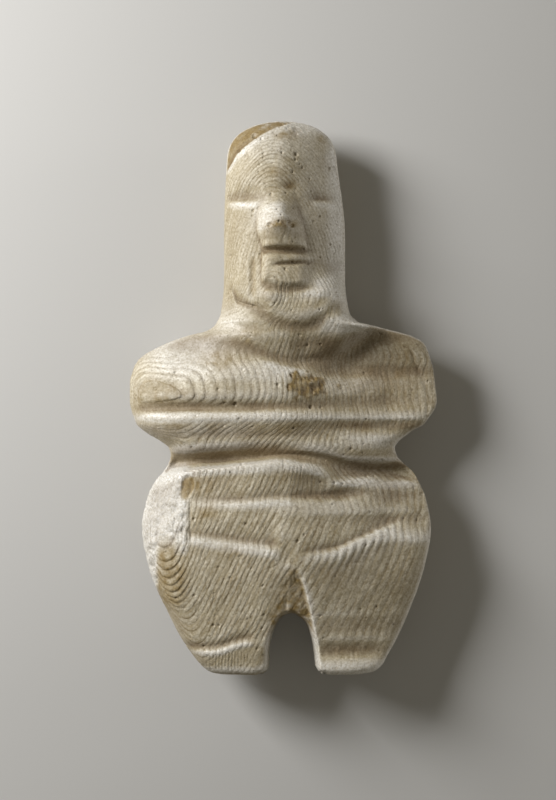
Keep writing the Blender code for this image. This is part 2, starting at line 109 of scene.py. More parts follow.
def corner(distance, radius):
    """How far a rounded corner stands back, at this distance from its face."""
    inside = np.clip(radius - distance, 0.0, radius)
    return radius - np.sqrt(radius ** 2 - inside ** 2)


def spots(table, x, height):
    """Sum of soft ovals, each given as strength, x, width, height, tallness."""
    return sum(strength * bell(x - at_x, wide) * bell(height - at_height, tall)
               for strength, at_x, wide, at_height, tall in table)


def curve(stations, at):
    """A smooth curve through (place, value) stations that never overshoots them."""
    place = np.array([station[0] for station in stations])
    value = np.array([station[1] for station in stations])
    gap = np.diff(place)
    slope = np.diff(value) / gap
    tangent = np.zeros_like(value)
    tangent[0] = slope[0]
    tangent[-1] = slope[-1]
    for i in range(1, len(place) - 1):
        before, after = slope[i - 1], slope[i]
        if before * after > 0.0:
            tangent[i] = 2.0 * before * after / (before + after)
    at = np.clip(at, place[0], place[-1])
    i = np.clip(np.searchsorted(place, at, side="right") - 1, 0, len(gap) - 1)
    part = (at - place[i]) / gap[i]
    rest = 1.0 - part
    return ((1.0 + 2.0 * part) * rest ** 2 * value[i] + part * rest ** 2 * gap[i] * tangent[i]
            + (3.0 - 2.0 * part) * part ** 2 * value[i + 1] - rest * part ** 2 * gap[i] * tangent[i + 1])


print("half way up a ramp:", float(ramp(0.5, 0.0, 1.0)))

# %% [markdown]
# ## The outline
#
# The blank was sawn and ground to this outline before anything was carved. It could
# be drawn as a curve object, but the relief needs the edges at any height, so it is a
# table: a height with its left and its right edge, with a row only where the line
# bends. The round crown and the corners of the soles are formulas.

# %% Outline stations
OUTLINE = (
    (0.0, -10.9, 13.9),       # soles
    (2.3, -13.0, 15.1),
    (4.6, -14.65, 16.4),      # ankles
    (8.1, -16.5, 18.0),
    (15.1, -19.5, 20.5),      # thighs
    (20.9, -20.55, 21.5),     # hips, at their widest
    (25.5, -19.7, 20.65),
    (27.9, -18.5, 19.6),      # belly
    (29.0, -17.5, 18.9),
    (31.4, -16.35, 16.55),    # waist
    (32.5, -16.6, 16.25),
    (34.9, -20.1, 18.6),      # under the arms
    (36.0, -21.3, 20.5),
    (39.5, -22.3, 22.35),     # ends of the arm stumps
    (41.8, -22.3, 22.1),
    (44.2, -21.7, 21.8),
    (45.3, -21.1, 21.5),
    (47.65, -17.2, 20.55),    # shoulders
    (48.8, -14.0, 18.7),
    (49.5, -11.2, 16.3),
    (50.1, -10.2, 13.9),      # foot of the neck
    (50.8, -9.65, 11.0),
    (52.3, -9.05, 9.6),
    (57.0, -8.6, 9.0),        # jaw
    (63.0, -8.6, 9.0),
    (74.4, -8.2, 7.8),        # temples
    (80.0, -7.6, 7.3),        # crown, before its rounding
)


def crown_round(height):
    """1 up to the temples, falling to 0 at the crown."""
    up = np.clip((height - CROWN_START) / (HEIGHT - CROWN_START), 0.0, 1.0)
    return np.clip(1.0 - up ** CROWN_BEND, 0.0, 1.0) ** CROWN_FULLNESS


def body_edges(height):
    """Left and right edge of the outline at a height."""
    left = curve([(station[0], station[1]) for station in OUTLINE], height)
    right = curve([(station[0], station[2]) for station in OUTLINE], height)
    left = left * crown_round(height) + corner(height, LEFT_SOLE_CORNER)
    right = right * crown_round(height) - corner(height, RIGHT_SOLE_CORNER)
    return left, right


print("edges at the waist, mm:", [round(float(edge), 2) for edge in body_edges(np.array(32.0))])

# %% [markdown]
# ## The arch between the legs
#
# Only the feet are cut apart. The opening is a steep arch whose sides flare at the
# soles. Its edge is rolled over by the distance to the arch, which makes the rounding
# even all the way round. A Boolean cut would leave a sharp edge to bevel afterwards.

# %% The gap between the legs
GAP_LEFT_REACH = 3.3
GAP_RIGHT_REACH = 2.75
GAP_FLARE = 0.7
GAP_ROLL = 1.0                    # width of the rolled edge
GAP_SQUARENESS = 2.6
GAP_SAMPLES = 90
FAR_AWAY = 99.0


def gap_edges(height):
    """Left and right side of the arch at a height."""
    up = np.clip(height / GAP_TOP, 0.0, 1.0)
    opening = np.sqrt(1.0 - up ** 3)
    flare = GAP_FLARE * (1.0 - up) * ramp(up, 1.0, 0.85)
    left = GAP_MIDDLE - GAP_LEFT_REACH * opening - corner(height, GAP_SOLE_CORNER)
    right = GAP_MIDDLE + GAP_RIGHT_REACH * opening + flare + corner(height, GAP_SOLE_CORNER)
    return left, right


def gap_distance(x, height):
    """Distance to the arch, measured to points along it."""
    sample = GAP_TOP * np.sin(np.linspace(0.0, np.pi / 2.0, GAP_SAMPLES))
    far = np.full(x.shape, FAR_AWAY)
    near = (height < GAP_TOP + 4.0) & (np.abs(x - GAP_MIDDLE) < 8.0)
    best = np.full(x[near].shape, FAR_AWAY)
    for edge in gap_edges(sample):
        for edge_x, edge_height in zip(edge, sample):
            best = np.minimum(best, (x[near] - edge_x) ** 2 + (height[near] - edge_height) ** 2)
    far[near] = np.sqrt(best)
    return far


def gap_roll(x, height):
    """0 on the edge of the arch, 1 from the width of the rolled edge onwards."""
    near = np.clip(1.0 - gap_distance(x, height) / GAP_ROLL, 0.0, 1.0)
    return (1.0 - near ** GAP_SQUARENESS) ** (1.0 / GAP_SQUARENESS)


print("the gap is", round(float(np.subtract(*gap_edges(np.array(3.0))[::-1])), 2), "mm wide")

# %% [markdown]
# ## Depths
#
# Head, neck, chest and hips are four masses of different thickness. Each has a depth
# along the middle of the body, as (height, depth) stations. Squareness tells how the
# section runs out to the rim: 2 is an ellipse, as on the head, and 10 or more is a
# flat front with tight rounding, as on the right thigh.

# %% Depths along the middle
HEAD_DEPTH = ((50.0, 6.5), (52.5, 7.0), (54.5, 7.1), (57.0, 6.95), (60.0, 6.5), (64.0, 6.05),
              (66.5, 5.95), (68.5, 5.85), (71.0, 5.7), (74.0, 5.4), (76.5, 5.0), (80.0, 4.4))
NECK_DEPTH = ((44.0, 4.9), (45.9, 5.2), (49.4, 6.3), (52.0, 6.5), (56.0, 6.5))
CHEST_DEPTH = ((30.5, 3.9), (31.4, 4.6), (32.4, 5.45), (34.3, 5.6), (35.2, 5.95), (36.2, 6.4),
               (37.0, 6.68), (38.0, 6.66), (40.0, 6.75), (42.4, 6.65), (43.6, 6.35), (45.5, 5.5),
               (48.0, 4.8), (50.0, 4.3))
HIP_DEPTH = ((0.0, 4.1), (2.0, 4.6), (4.5, 5.15), (8.0, 5.75), (12.0, 6.35), (15.5, 6.85),
             (17.5, 7.05), (22.0, 7.15), (29.0, 7.15), (33.0, 6.4))
BACK_DEPTH = ((0.0, 4.3), (4.0, 4.5), (10.0, 5.3), (16.0, 6.9), (20.0, 7.6), (24.0, 7.2), (31.0, 5.3),
              (36.0, 6.1), (40.0, 7.1), (44.0, 7.2), (48.0, 5.7), (52.0, 5.1), (58.0, 6.2),
              (64.0, 7.3), (70.0, 7.2), (75.0, 6.2), (80.0, 5.0))
LEFT_SQUARENESS = ((0.0, 6.0), (5.0, 12.0), (11.0, 14.0), (14.5, 10.0), (18.0, 7.5), (22.0, 6.0),
                   (27.0, 4.5), (31.0, 5.0), (35.5, 4.0), (40.0, 2.9), (47.0, 2.6), (51.0, 2.2),
                   (56.0, 2.0), (80.0, 1.9))
RIGHT_SQUARENESS = ((0.0, 8.0), (5.0, 20.0), (17.0, 22.0), (21.0, 12.0), (25.0, 8.0), (30.0, 6.0),
                    (34.0, 7.0), (40.0, 9.0), (49.5, 10.0), (52.0, 7.0), (55.5, 4.5), (58.0, 2.6),
                    (61.0, 1.65), (70.0, 1.5), (80.0, 1.7))
BACK_SQUARENESS = 2.8
print("chest stands", round(float(curve(CHEST_DEPTH, 42.0)), 2), "mm proud of the rim")

# %% [markdown]
# ## Sections
#
# The ridge of the body runs near the middle, and on the head it moves to the left,
# because the right half of the face falls away like a roof. A section is 1 on the
# ridge and 0 on the rim, so it can simply be multiplied by a depth.

# %% Sections across the body
RIDGE_SHIFT = ((52.0, 0.0), (60.0, 1.1), (67.0, 1.2), (74.0, 0.5), (80.0, 0.0))
KEEL_ROUND = 0.22
KEEL_FULLNESS = 0.68
HAIR = 0.001                      # keeps a division by a width of nothing away


def ridge_and_edges(height):
    """The x of the ridge, the left edge and the right edge."""
    left, right = body_edges(height)
    return (left + right) / 2.0 - curve(RIDGE_SHIFT, height), left, right


def cross_section(x, height, left_squareness, right_squareness):
    """1 along the ridge of the body, falling to 0 at the rim on either side."""
    ridge, left, right = ridge_and_edges(height)
    left_part = (ridge - x) / np.maximum(ridge - left, HAIR)
    right_part = (x - ridge) / np.maximum(right - ridge, HAIR)
    part = np.clip(np.maximum(left_part, right_part), 0.0, 1.0)
    return np.sqrt(1.0 - part ** np.where(x < ridge, left_squareness, right_squareness))


def keel(x, height):
    """The head's section, with its right half falling away like a roof."""
    ridge, left, right = ridge_and_edges(height)
    part = np.clip((x - ridge) / np.maximum(right - ridge, HAIR), 0.0, 1.0)
    part = (1.0 + KEEL_ROUND) * part ** 2 / (part + KEEL_ROUND)
    return (1.0 - part) ** KEEL_FULLNESS


print("keel half way out:", round(float(keel(np.array(4.0), np.array(65.0))), 2))

# %% [markdown]
# ## The slope of the front
#
# The front of the trunk isn't level from side to side. It falls away a little on the
# left and a good deal on the right. The drop is a table of a few heights by a few
# places across, blended smoothly. Sculpting it by hand would look the same, but
# couldn't be measured or changed later.

# %% The roof of the trunk
ROOF_AT = (-20.0, -10.0, -3.0, 0.0, 3.0, 7.0, 12.0, 16.0, 20.0)
ROOF = (                                                          # height, and the drop at each place
    (0.0, (0.8, 0.35, 0.05, 0.0, 0.12, 0.5, 1.1, 1.7, 2.2)),      # soles
    (7.0, (1.65, 0.74, 0.14, 0.0, 0.25, 1.0, 2.1, 3.1, 4.2)),     # thighs
    (19.0, (1.65, 0.74, 0.14, 0.0, 0.25, 1.0, 2.2, 3.3, 4.3)),
    (23.0, (1.65, 0.74, 0.14, 0.1, 0.45, 1.5, 3.2, 4.8, 6.2)),    # hips
    (26.0, (1.65, 0.74, 0.14, 0.3, 1.1, 2.5, 4.1, 5.7, 6.7)),     # belly
    (28.0, (1.65, 0.74, 0.14, 0.3, 1.1, 2.5, 4.1, 5.7, 6.7)),
    (31.0, (0.3, 0.1, 0.0, 0.1, 0.4, 1.2, 2.4, 3.1, 3.4)),        # waist
    (33.0, (0.0, 0.0, 0.0, 0.05, 0.3, 1.0, 2.0, 2.6, 2.9)),
    (36.5, (0.0, 0.0, 0.0, 0.15, 0.65, 1.8, 3.4, 4.5, 4.9)),      # forearms
    (40.0, (0.0, 0.0, 0.0, 0.2, 0.9, 2.4, 4.3, 5.6, 6.0)),        # chest
    (45.0, (0.0, 0.0, 0.0, 0.3, 1.4, 3.4, 5.2, 6.0, 6.1)),
)


def roof(x, height):
    """How far the front of the trunk and legs slopes down from the middle to its sides."""
    drop = curve(list(zip(ROOF_AT, ROOF[0][1])), x)
    for (low, low_drop), (high, high_drop) in zip(ROOF, ROOF[1:]):
        more = curve(list(zip(ROOF_AT, high_drop)), x) - curve(list(zip(ROOF_AT, low_drop)), x)
        drop = drop + ramp(height, low, high) * more
    return drop


print("right side of the chest falls", round(float(roof(16.0, 40.0)), 2), "mm")

# %% [markdown]
# ## The masses
#
# Seen from the side, the masses step down to each other along three lines: the jaw,
# the collar and the top of the belly. Each line is a curve across the body, and a
# second curve tells how soft the step is there.

# %% Head, neck, chest and hips
NECK_ROOF = ((-22.0, 0.0), (-3.0, 0.0), (0.0, 0.25), (3.0, 0.9), (6.0, 1.2), (8.0, 1.4), (10.0, 2.5),
             (12.0, 3.6), (14.0, 4.4), (16.0, 4.9), (22.0, 5.1))
COLLAR = ((-17.0, 50.5), (-10.0, 48.6), (-4.0, 46.6), (0.0, 45.1), (4.0, 44.5), (6.8, 44.8),
          (9.0, 45.9), (12.6, 48.2), (15.0, 50.2))
COLLAR_SOFT = ((-14.0, 3.2), (-6.0, 2.2), (-2.0, 1.2), (3.0, 1.2), (7.0, 1.6), (12.6, 2.8))
BELLY_TOP = ((-17.0, 28.9), (-14.0, 29.6), (-4.5, 30.7), (0.0, 31.1), (3.0, 30.7), (6.0, 29.9),
             (9.0, 29.0), (12.6, 28.5), (18.0, 28.6))
BELLY_SOFT = ((-17.0, 0.5), (-4.0, 0.5), (0.0, 0.7), (4.0, 1.5), (8.0, 2.0), (12.0, 1.8), (18.0, 1.4))
JAW_MIDDLE = 1.9                  # the jaw line is lowest here
JAW_HEIGHT = 49.9
JAW_RISE_LEFT = 0.055
JAW_RISE_RIGHT = 0.10


def head_and_neck(x, height):
    """The neck slopes back to the right, and the head steps up from it along the jaw."""
    rise = np.where(x < JAW_MIDDLE, JAW_RISE_LEFT, JAW_RISE_RIGHT)
    jaw = JAW_HEIGHT + rise * (x - JAW_MIDDLE) ** 2
    neck = curve(NECK_DEPTH, height) - curve(NECK_ROOF, x) * ramp(height, 52.0, 47.3)
    step_length = 2.8 + 3.2 * ramp(x, 2.5, 7.0)
    step = ramp((height - jaw + 0.9) / step_length, 0.0, 1.0)
    return neck + (curve(HEAD_DEPTH, height) - neck) * step


def trunk(x, height):
    """The chest, and below the belly's upper edge the hips."""
    droop = 1.2 * ramp(x, 3.0, 11.0) * ramp(height, 36.0, 33.0)
    chest = curve(CHEST_DEPTH, height + droop)
    chest = chest - 0.14 * np.clip(height - 40.0, 0.0, 7.0) * ramp(x, -6.0, -16.0)
    right_shoulder = 6.5 + 0.22 * (height - 43.0)
    chest = chest + (right_shoulder - chest) * ramp(x, 0.0, 6.0) * ramp(height, 42.0, 45.0)
    hips = curve(HIP_DEPTH, height) - 0.9 * ramp(x, -14.0, -19.5) * ramp(height, 16.5, 24.0)
    below = ramp((curve(BELLY_TOP, x) - height) / curve(BELLY_SOFT, x), -1.0, 1.0) * (height < 36.0)
    return chest + (hips - chest) * below - roof(x, height)


def main_masses(x, height):
    """Head and neck above the collar, the trunk below it."""
    neck = head_and_neck(x, height)
    below = ramp((curve(COLLAR, x) - height) / curve(COLLAR_SOFT, x), -1.0, 1.0)
    return neck + (trunk(x, height) - neck) * below


print("middle of the neck:", round(float(main_masses(np.array(0.0), np.array(49.0))), 2), "mm")

# %% [markdown]
# ## The arms and the collar
#
# On the masses, the carver filed grooves with a stone edge. A groove is a line across
# the body with a depth along it, and its upper side can be wider than its lower one.
# The arms are only hinted at: one groove under the chest parts them from the forearms.
# A soft furrow below the chin ends the head.

# %% Arm groove, collar and chin furrow
ARM_GROOVE = ((-20.0, 38.3), (-8.0, 38.4), (0.0, 38.6), (20.0, 39.0))
ARM_DEPTH = ((-21.5, 0.2), (-19.0, 0.6), (-15.0, 0.85), (-6.0, 0.65), (0.0, 0.42), (6.0, 0.2),
             (9.0, 0.1), (12.0, 0.04), (20.0, 0.0))
NECK_GROOVE = ((-4.0, 46.0), (2.4, 44.8), (8.3, 45.5), (11.2, 47.1), (13.8, 49.6), (15.2, 51.2),
               (18.0, 54.0))
NECK_GROOVE_DEPTH = ((-6.0, 0.0), (-1.0, 0.12), (3.0, 0.5), (6.0, 1.0), (9.0, 1.5), (11.5, 1.05),
                     (14.0, 0.5), (17.5, 0.1))
NECK_GROOVE_LEAN = ((2.0, 1.0), (8.0, 0.95), (11.0, 0.85), (13.0, 0.73))
NECK_GROOVE_ABOVE = ((2.0, 0.8), (8.0, 1.5), (13.0, 1.8))
NECK_GROOVE_BELOW = ((2.0, 0.9), (6.0, 2.0), (10.0, 3.2))
CHIN_LINE = ((-7.0, 53.6), (-3.4, 51.9), (-1.0, 50.7), (1.4, 50.0), (3.5, 50.0), (5.2, 50.5), (7.0, 52.0))


def arm_carving(x, height):
    return -curve(ARM_DEPTH, x) * groove(height - curve(ARM_GROOVE, x), 1.1, 0.75)


def under_chin(x, height):
    """1 along the soft furrow below the chin."""
    return bell(height - curve(CHIN_LINE, x), 0.8) * ramp(x, -6.5, -2.5) * ramp(x, 7.0, 4.5)


def collar_carving(x, height):
    """The hollow at the foot of the neck, and a low sinew that runs up from it."""
    distance = (height - curve(NECK_GROOVE, x)) * curve(NECK_GROOVE_LEAN, x)
    hollow = groove(distance, curve(NECK_GROOVE_ABOVE, x), curve(NECK_GROOVE_BELOW, x))
    sinew = bell(x - (6.6 + 1.1 * (height - 53.3)), 1.2) * ramp(height, 51.0, 52.5) * ramp(height, 57.5, 55.5)
    return 0.2 * sinew - 0.25 * under_chin(x, height) - curve(NECK_GROOVE_DEPTH, x) * hollow


print("groove under the chest is", round(float(-arm_carving(np.array(-15.0), np.array(38.4))), 2), "mm deep")

# %% [markdown]
# ## Folds of the belly
#
# A fold isn't a plain groove: the flesh above it slopes in slowly and the roll below
# starts at once, which catches the light as a bright band. There is one fold across
# the belly, one in each groin, and a low roll on the right side.

# %% Waist, belly and groins
WAIST_DEPTH = ((-17.0, 1.4), (-8.0, 1.2), (-1.0, 0.6), (4.0, 0.2), (10.0, 0.1), (16.0, 0.0))
BELLY_FOLD = ((-12.0, 25.4), (-6.0, 25.5), (0.0, 26.0), (8.0, 26.0), (14.0, 26.6))
BELLY_FOLD_DEPTH = ((-14.0, 0.0), (-11.0, 0.3), (-6.0, 0.42), (8.0, 0.4), (13.0, 0.2), (17.0, 0.0))
LEFT_GROIN = ((-14.0, 20.8), (-8.0, 20.0), (-1.0, 19.1))
LEFT_GROIN_DEPTH = ((-16.0, 0.0), (-12.5, 0.35), (-7.0, 0.5), (-2.2, 0.5), (-0.2, 0.0))
RIGHT_GROIN = ((3.0, 18.0), (7.0, 18.5), (11.0, 20.1), (15.0, 21.8), (18.0, 22.6))
RIGHT_GROIN_DEPTH = ((2.0, 0.0), (5.0, 0.3), (9.0, 0.45), (14.0, 0.38), (17.5, 0.0))
SIDE_ROLL = ((4.0, 26.6), (8.6, 27.5), (14.6, 28.6), (18.0, 28.9))
SIDE_ROLL_RISE = ((4.0, 0.0), (9.0, 0.15), (15.0, 0.2), (19.0, 0.0))


def fold(distance, above, below):
    """-1 on the fold, easing out slowly above it and quickly below it."""
    up = np.exp(-(np.clip(distance, 0.0, None) / above) ** 1.2)
    return -np.where(distance > 0.0, up, bell(distance, below))


def waist_carving(x, height):
    return -curve(WAIST_DEPTH, x) * bell(height - curve(BELLY_TOP, x) - 1.1, 1.1)


def belly_carving(x, height):
    belly = height - curve(BELLY_FOLD, x)
    left = height - curve(LEFT_GROIN, x)
    right = height - curve(RIGHT_GROIN, x)
    roll = height - curve(SIDE_ROLL, x)
    return (curve(BELLY_FOLD_DEPTH, x) * fold(belly, 2.4, 0.75)
            + curve(LEFT_GROIN_DEPTH, x) * (fold(left, 2.6, 0.85) + 0.25 * bell(left + 1.7, 0.9))
            + curve(RIGHT_GROIN_DEPTH, x) * (fold(right, 1.5, 0.55) + 0.45 * bell(right + 1.7, 1.2))
            + curve(SIDE_ROLL_RISE, x) * (bell(roll, 0.7) - 0.7 * bell(roll + 1.3, 0.7)))


print("belly fold is", round(float(-belly_carving(np.array(-6.0), np.array(25.5))), 2), "mm deep")

# %% [markdown]
# ## Crotch and ankles
#
# Above the arch a shallow triangular field was scraped out, with a crisp right edge.
# The feet are set off by a short groove on the left and a wider hollow on the right.
# All three are cut by formula like the folds, because they have to follow the outline.

# %% Crotch and ankles
FIELD_REACH = ((8.0, 3.6), (11.0, 2.7), (14.0, 1.8), (16.0, 0.8))
FIELD_RIGHT = ((4.0, 4.9), (8.7, 3.9), (12.0, 3.1), (15.5, 2.0))
FIELD_TIP = ((9.0, 1.3), (15.0, 0.9), (19.0, 0.2))
LEFT_ANKLE = ((-15.0, 3.9), (-10.5, 3.8), (-5.2, 5.2), (-2.5, 5.4))
LEFT_ANKLE_DEPTH = ((-14.0, 0.2), (-10.0, 0.35), (-5.5, 0.3), (-4.0, 0.05))
RIGHT_ANKLE = 3.3
RIGHT_ANKLE_DEPTH = ((4.5, 0.1), (8.0, 0.35), (13.0, 0.3), (15.0, 0.1))
FEET_TOP = 9.0


def crotch_carving(x, height):
    left_edge = GAP_MIDDLE - curve(FIELD_REACH, height)
    right_edge = curve(FIELD_RIGHT, height)
    field = ramp(x, left_edge - 1.8, left_edge + 2.6) * ramp(x, right_edge + 0.3, right_edge - 0.3)
    tip = bell(x - curve(FIELD_TIP, height), 1.2) * ramp(height, 15.5, 17.0) * ramp(height, 20.5, 18.0)
    return -0.55 * field * ramp(height, 17.0, 10.0) - 0.25 * tip


def ankle_carving(x, height):
    left = height - curve(LEFT_ANKLE, x)
    right = height - RIGHT_ANKLE
    left_cut = curve(LEFT_ANKLE_DEPTH, x) * (0.6 * bell(left + 0.6, 0.5) - bell(left - 0.3, 0.8))
    right_cut = curve(RIGHT_ANKLE_DEPTH, x) * (0.35 * bell(right - 2.0, 0.8) - 0.9 * bell(right, 1.3))
    right_cut = right_cut + 0.8 * ramp(height, 3.8, 0.4) * ramp(x, 3.5, 5.5)
    return np.where(x < GAP_MIDDLE, left_cut, right_cut) * (height < FEET_TOP)


print("right ankle is", round(float(-ankle_carving(np.array(9.0), np.array(4.6))), 2), "mm deep")

# %% [markdown]
# ## The nose
#
# The nose is the boldest form of the face: a wedge that rises from the brow and ends
# in a blunt tip. Its left flank is steep and its right flank is a plain slope. The
# profile gives the height of the ridge, and two powers bend each flank.

# %% The nose
NOSE_PROFILE = ((60.9, 0.0), (61.2, 0.4), (61.6, 1.25), (62.3, 1.5), (63.3, 1.85), (64.3, 2.25),
                (65.1, 2.3), (66.2, 1.8), (67.4, 1.15), (68.4, 0.5), (69.8, 0.0))
NOSE_RIDGE = ((61.5, 0.4), (64.0, -0.1), (67.0, -0.3))
NOSE_LEFT = ((60.9, 2.9), (62.2, 3.2), (64.0, 3.8), (66.0, 3.9), (67.9, 3.1), (70.0, 2.0))
NOSE_RIGHT = ((60.9, 3.5), (62.2, 3.3), (64.0, 3.1), (66.0, 2.6), (67.9, 2.1), (70.0, 1.7))
LEFT_FLANK = (((61.5, 4.0), (64.0, 3.2), (66.0, 1.9)), ((61.5, 0.55), (64.0, 0.7), (66.0, 1.0)))
RIGHT_FLANK = (((61.5, 3.6), (63.0, 2.2), (66.0, 1.5)), ((61.5, 0.6), (63.0, 1.1), (66.0, 1.3)))


def nose_carving(x, height):
    ridge = curve(NOSE_RIDGE, height)
    on_left = x < ridge
    left = (ridge - x) / (curve(NOSE_LEFT, height) + ridge)
    right = (x - ridge) / (curve(NOSE_RIGHT, height) - ridge)
    aside = np.clip(np.where(on_left, left, right), 0.0, 1.0)
    inner, outer = [np.where(on_left, curve(on_the_left, height), curve(on_the_right, height))
                    for on_the_left, on_the_right in zip(LEFT_FLANK, RIGHT_FLANK)]
    return curve(NOSE_PROFILE, height) * (1.0 - aside ** inner) ** outer


print("nose stands", round(float(nose_carving(np.array(0.2), np.array(64.2))), 2), "mm out of the face")

# %% [markdown]
# ## Brow, lips and chin
#
# The brows are two short filed lines without eyes below them. The mouth is a small
# block that was left standing, with a slit sawn across it. The rest are soft bumps and
# dents, and a crease under the left side of the jaw. The crown has a smooth slanting
# facet on the left, where the shell was broken or ground away.

# %% The rest of the head
BROW_DEPTH = ((-8.4, 0.3), (-6.0, 0.55), (-3.8, 0.3), (-2.6, 0.0), (3.0, 0.0), (5.0, 0.35), (7.0, 0.5),
              (8.6, 0.3))
LEFT_BROW = 68.45
RIGHT_BROW = 68.5
LIP_PROFILE = ((55.0, 0.0), (55.6, 0.35), (56.4, 0.9), (57.5, 1.1), (58.5, 0.95), (59.4, 0.9),
               (60.0, 0.7), (60.4, 0.3), (60.8, 0.0))
LIP_BUMPS = ((0.3, -1.3, 1.0, 60.0, 0.5), (0.2, 1.6, 0.9, 60.1, 0.5),
             (-0.15, -2.0, 0.4, 57.2, 0.4), (-0.15, 0.2, 0.35, 58.0, 0.4))
FACE_BUMPS = (
    (0.45, -1.9, 1.9, 54.4, 1.6),     # chin
    (-0.2, 2.4, 3.0, 55.5, 0.5),      # dent between lip and chin
    (-0.18, 0.9, 1.1, 70.3, 0.7),     # hollow between the brows
)
JAW_CREASE = ((-7.4, 55.6), (-6.6, 53.7), (-5.3, 53.2), (-3.0, 52.6))
FACET = ((-8.6, 71.6), (-7.9, 72.7), (-6.3, 75.1), (-4.0, 76.9), (-1.6, 78.3), (1.0, 79.3), (3.0, 80.0))


def mouth_carving(x, height):
    """A block with its lower lip bowed, a slit, and notches worn into its edges."""
    bowed = height - 0.07 * (x - 0.9) ** 2 * ramp(height, 58.0, 55.8)
    slit = height - 58.95 - 0.09 * (x - 0.5)
    left_side = np.clip(x + 3.1, 0.0, 1.0)
    side = np.sqrt(1.0 - (1.0 - left_side) ** 2) * ramp(x, 4.6, 2.0)
    lips = curve(LIP_PROFILE, bowed) - 0.55 * bell(slit, 0.28) * ramp(x, -2.0, 0.0)
    return (lips + spots(LIP_BUMPS, x, height)) * side


def cheek_line(x, height, width):
    """1 along the upright line between the left cheek and the mouth."""
    return bell(x + 4.4, width) * ramp(height, 53.5, 55.5) * ramp(height, 60.5, 58.5)


def face_carving(x, height):
    brow = curve(BROW_DEPTH, x) * groove(height - np.where(x < 0.0, LEFT_BROW, RIGHT_BROW), 1.5, 0.5)
    jaw = 0.28 * ramp(x, -8.2, -6.6) * ramp(x, -1.5, -3.5) * groove(height - curve(JAW_CREASE, x), 1.3, 0.5)
    return (nose_carving(x, height) + mouth_carving(x, height) + spots(FACE_BUMPS, x, height)
            - brow - jaw - 0.28 * cheek_line(x, height, 0.4))


def crown_facet(x, height):
    """1 on the smooth facet on the left of the crown."""
    return ramp(height - curve(FACET, x), -0.05, 0.3) * ramp(x, 2.8, 1.6)


print("lower lip stands", round(float(mouth_carving(np.array(1.0), np.array(57.3))), 2), "mm proud")

# %% [markdown]
# ## Front and back together
#
# The front is mass times section, plus all the carving, which fades out at the rim.
# The back is plainer: smooth swells for head, shoulders and buttocks with a soft
# cleft, ground to one plane so that the figure lies still.

# %% Front and back
FACET_DEPTH = 0.45
CLEFT_DEPTH = 0.9
CARVINGS = (arm_carving, collar_carving, belly_carving, waist_carving, crotch_carving, ankle_carving,
            face_carving)


def finished(depth, x, height):
    """A depth with the rounding of the crown, the soles and the arch."""
    return (depth * crown_round(height) - corner(height, SOLE_EDGE)) * gap_roll(x, height)


def front_depth(x, height):
    section = cross_section(x, height, curve(LEFT_SQUARENESS, height), curve(RIGHT_SQUARENESS, height))
    section = section + (np.minimum(keel(x, height), section) - section) * ramp(height, 54.5, 59.5)
    carving = sum(carve(x, height) for carve in CARVINGS)
    depth = main_masses(x, height) * section + carving * ramp(section, 0.15, 0.6)
    return finished(depth - FACET_DEPTH * crown_facet(x, height) * ramp(section, 0.0, 0.5), x, height)


def back_depth(x, height):
    cleft = CLEFT_DEPTH * bell(x - 0.3, 1.0) * ramp(height, 9.0, 13.0) * ramp(height, 22.0, 19.0)
    section = cross_section(x, height, BACK_SQUARENESS, BACK_SQUARENESS)
    return np.minimum(finished((curve(BACK_DEPTH, height) - cleft) * section, x, height), REST_DEPTH)


print("deepest point at the hips:", round(float(front_depth(np.array([0.0]), np.array([22.0]))[0]), 2), "mm")

# %% [markdown]
# ## A fine skin of rows and columns
#
# The surface is laid as four sheets of rows, front and back of the left and right
# half. The sheets share their edges, so the body is closed: at the rim, down the
# middle, around the arch of the gap, at the crown and over the soles.

# %% Rows and columns
DENSITY = 1.0
COLUMNS = int(216 * DENSITY)
SOLE_ROWS = 24


def row_heights():
    soles = np.linspace(0.0, 1.0, int(12 * DENSITY) + 2) ** 1.5
    legs = np.linspace(1.0, GAP_TOP, int(82 * DENSITY))
    body = np.linspace(GAP_TOP, CROWN_START, int(700 * DENSITY))
    crown = CROWN_START + (HEIGHT - CROWN_START) * np.sin(np.linspace(0.0, np.pi / 2.0, int(84 * DENSITY)))
    return np.concatenate([soles[:-1], legs[:-1], body[:-1], crown])


def spread(height):
    """Places from an edge (0) to the middle (1), closer together where the form rolls over."""
    step = np.linspace(0.0, 1.0, COLUMNS + 1)[None, :]
    body = 0.6 * (1.0 - np.cos(step * np.pi / 2.0)) + 0.4 * step
    leg = 0.7 * (0.5 - 0.5 * np.cos(step * np.pi)) + 0.3 * step
    above = ramp(height, GAP_TOP, GAP_TOP + 6.0)
    return body * above + leg * (1.0 - above)


heights = row_heights()[:, None]
arch = int(np.argmin(np.abs(heights[:, 0] - GAP_TOP)))
middle = GAP_MIDDLE * ramp(heights, 30.0, GAP_TOP)
across = np.stack([edge + (np.where(heights < GAP_TOP, leg_edge, middle) - edge) * spread(heights)
                   for edge, leg_edge in zip(body_edges(heights), gap_edges(heights))])
upward = np.broadcast_to(heights, across.shape)
sheets_x = np.concatenate([across, across])
sheets_up = np.concatenate([upward, upward])
sheets_z = np.concatenate([front_depth(across, upward), -back_depth(across, upward)])
sheets_z[:, :, 0] = 0.0
sheets_z[:, :arch + 1, -1] = 0.0
print(sheets_x.shape[1], "rows of", 2 * COLUMNS, "columns, front and back")

# %% [markdown]
# ## Growth layers
#
# `layer` counts the layers from inside the shell outwards. If the layers were flat,
# rings would only appear on domes. They were a little tilted and wavy instead, steeper
# towards the left side of the body, so most rings run as slanting arcs and close into
# bullseyes where a dome happens to be parallel to them: the arm, the chin, the hip.

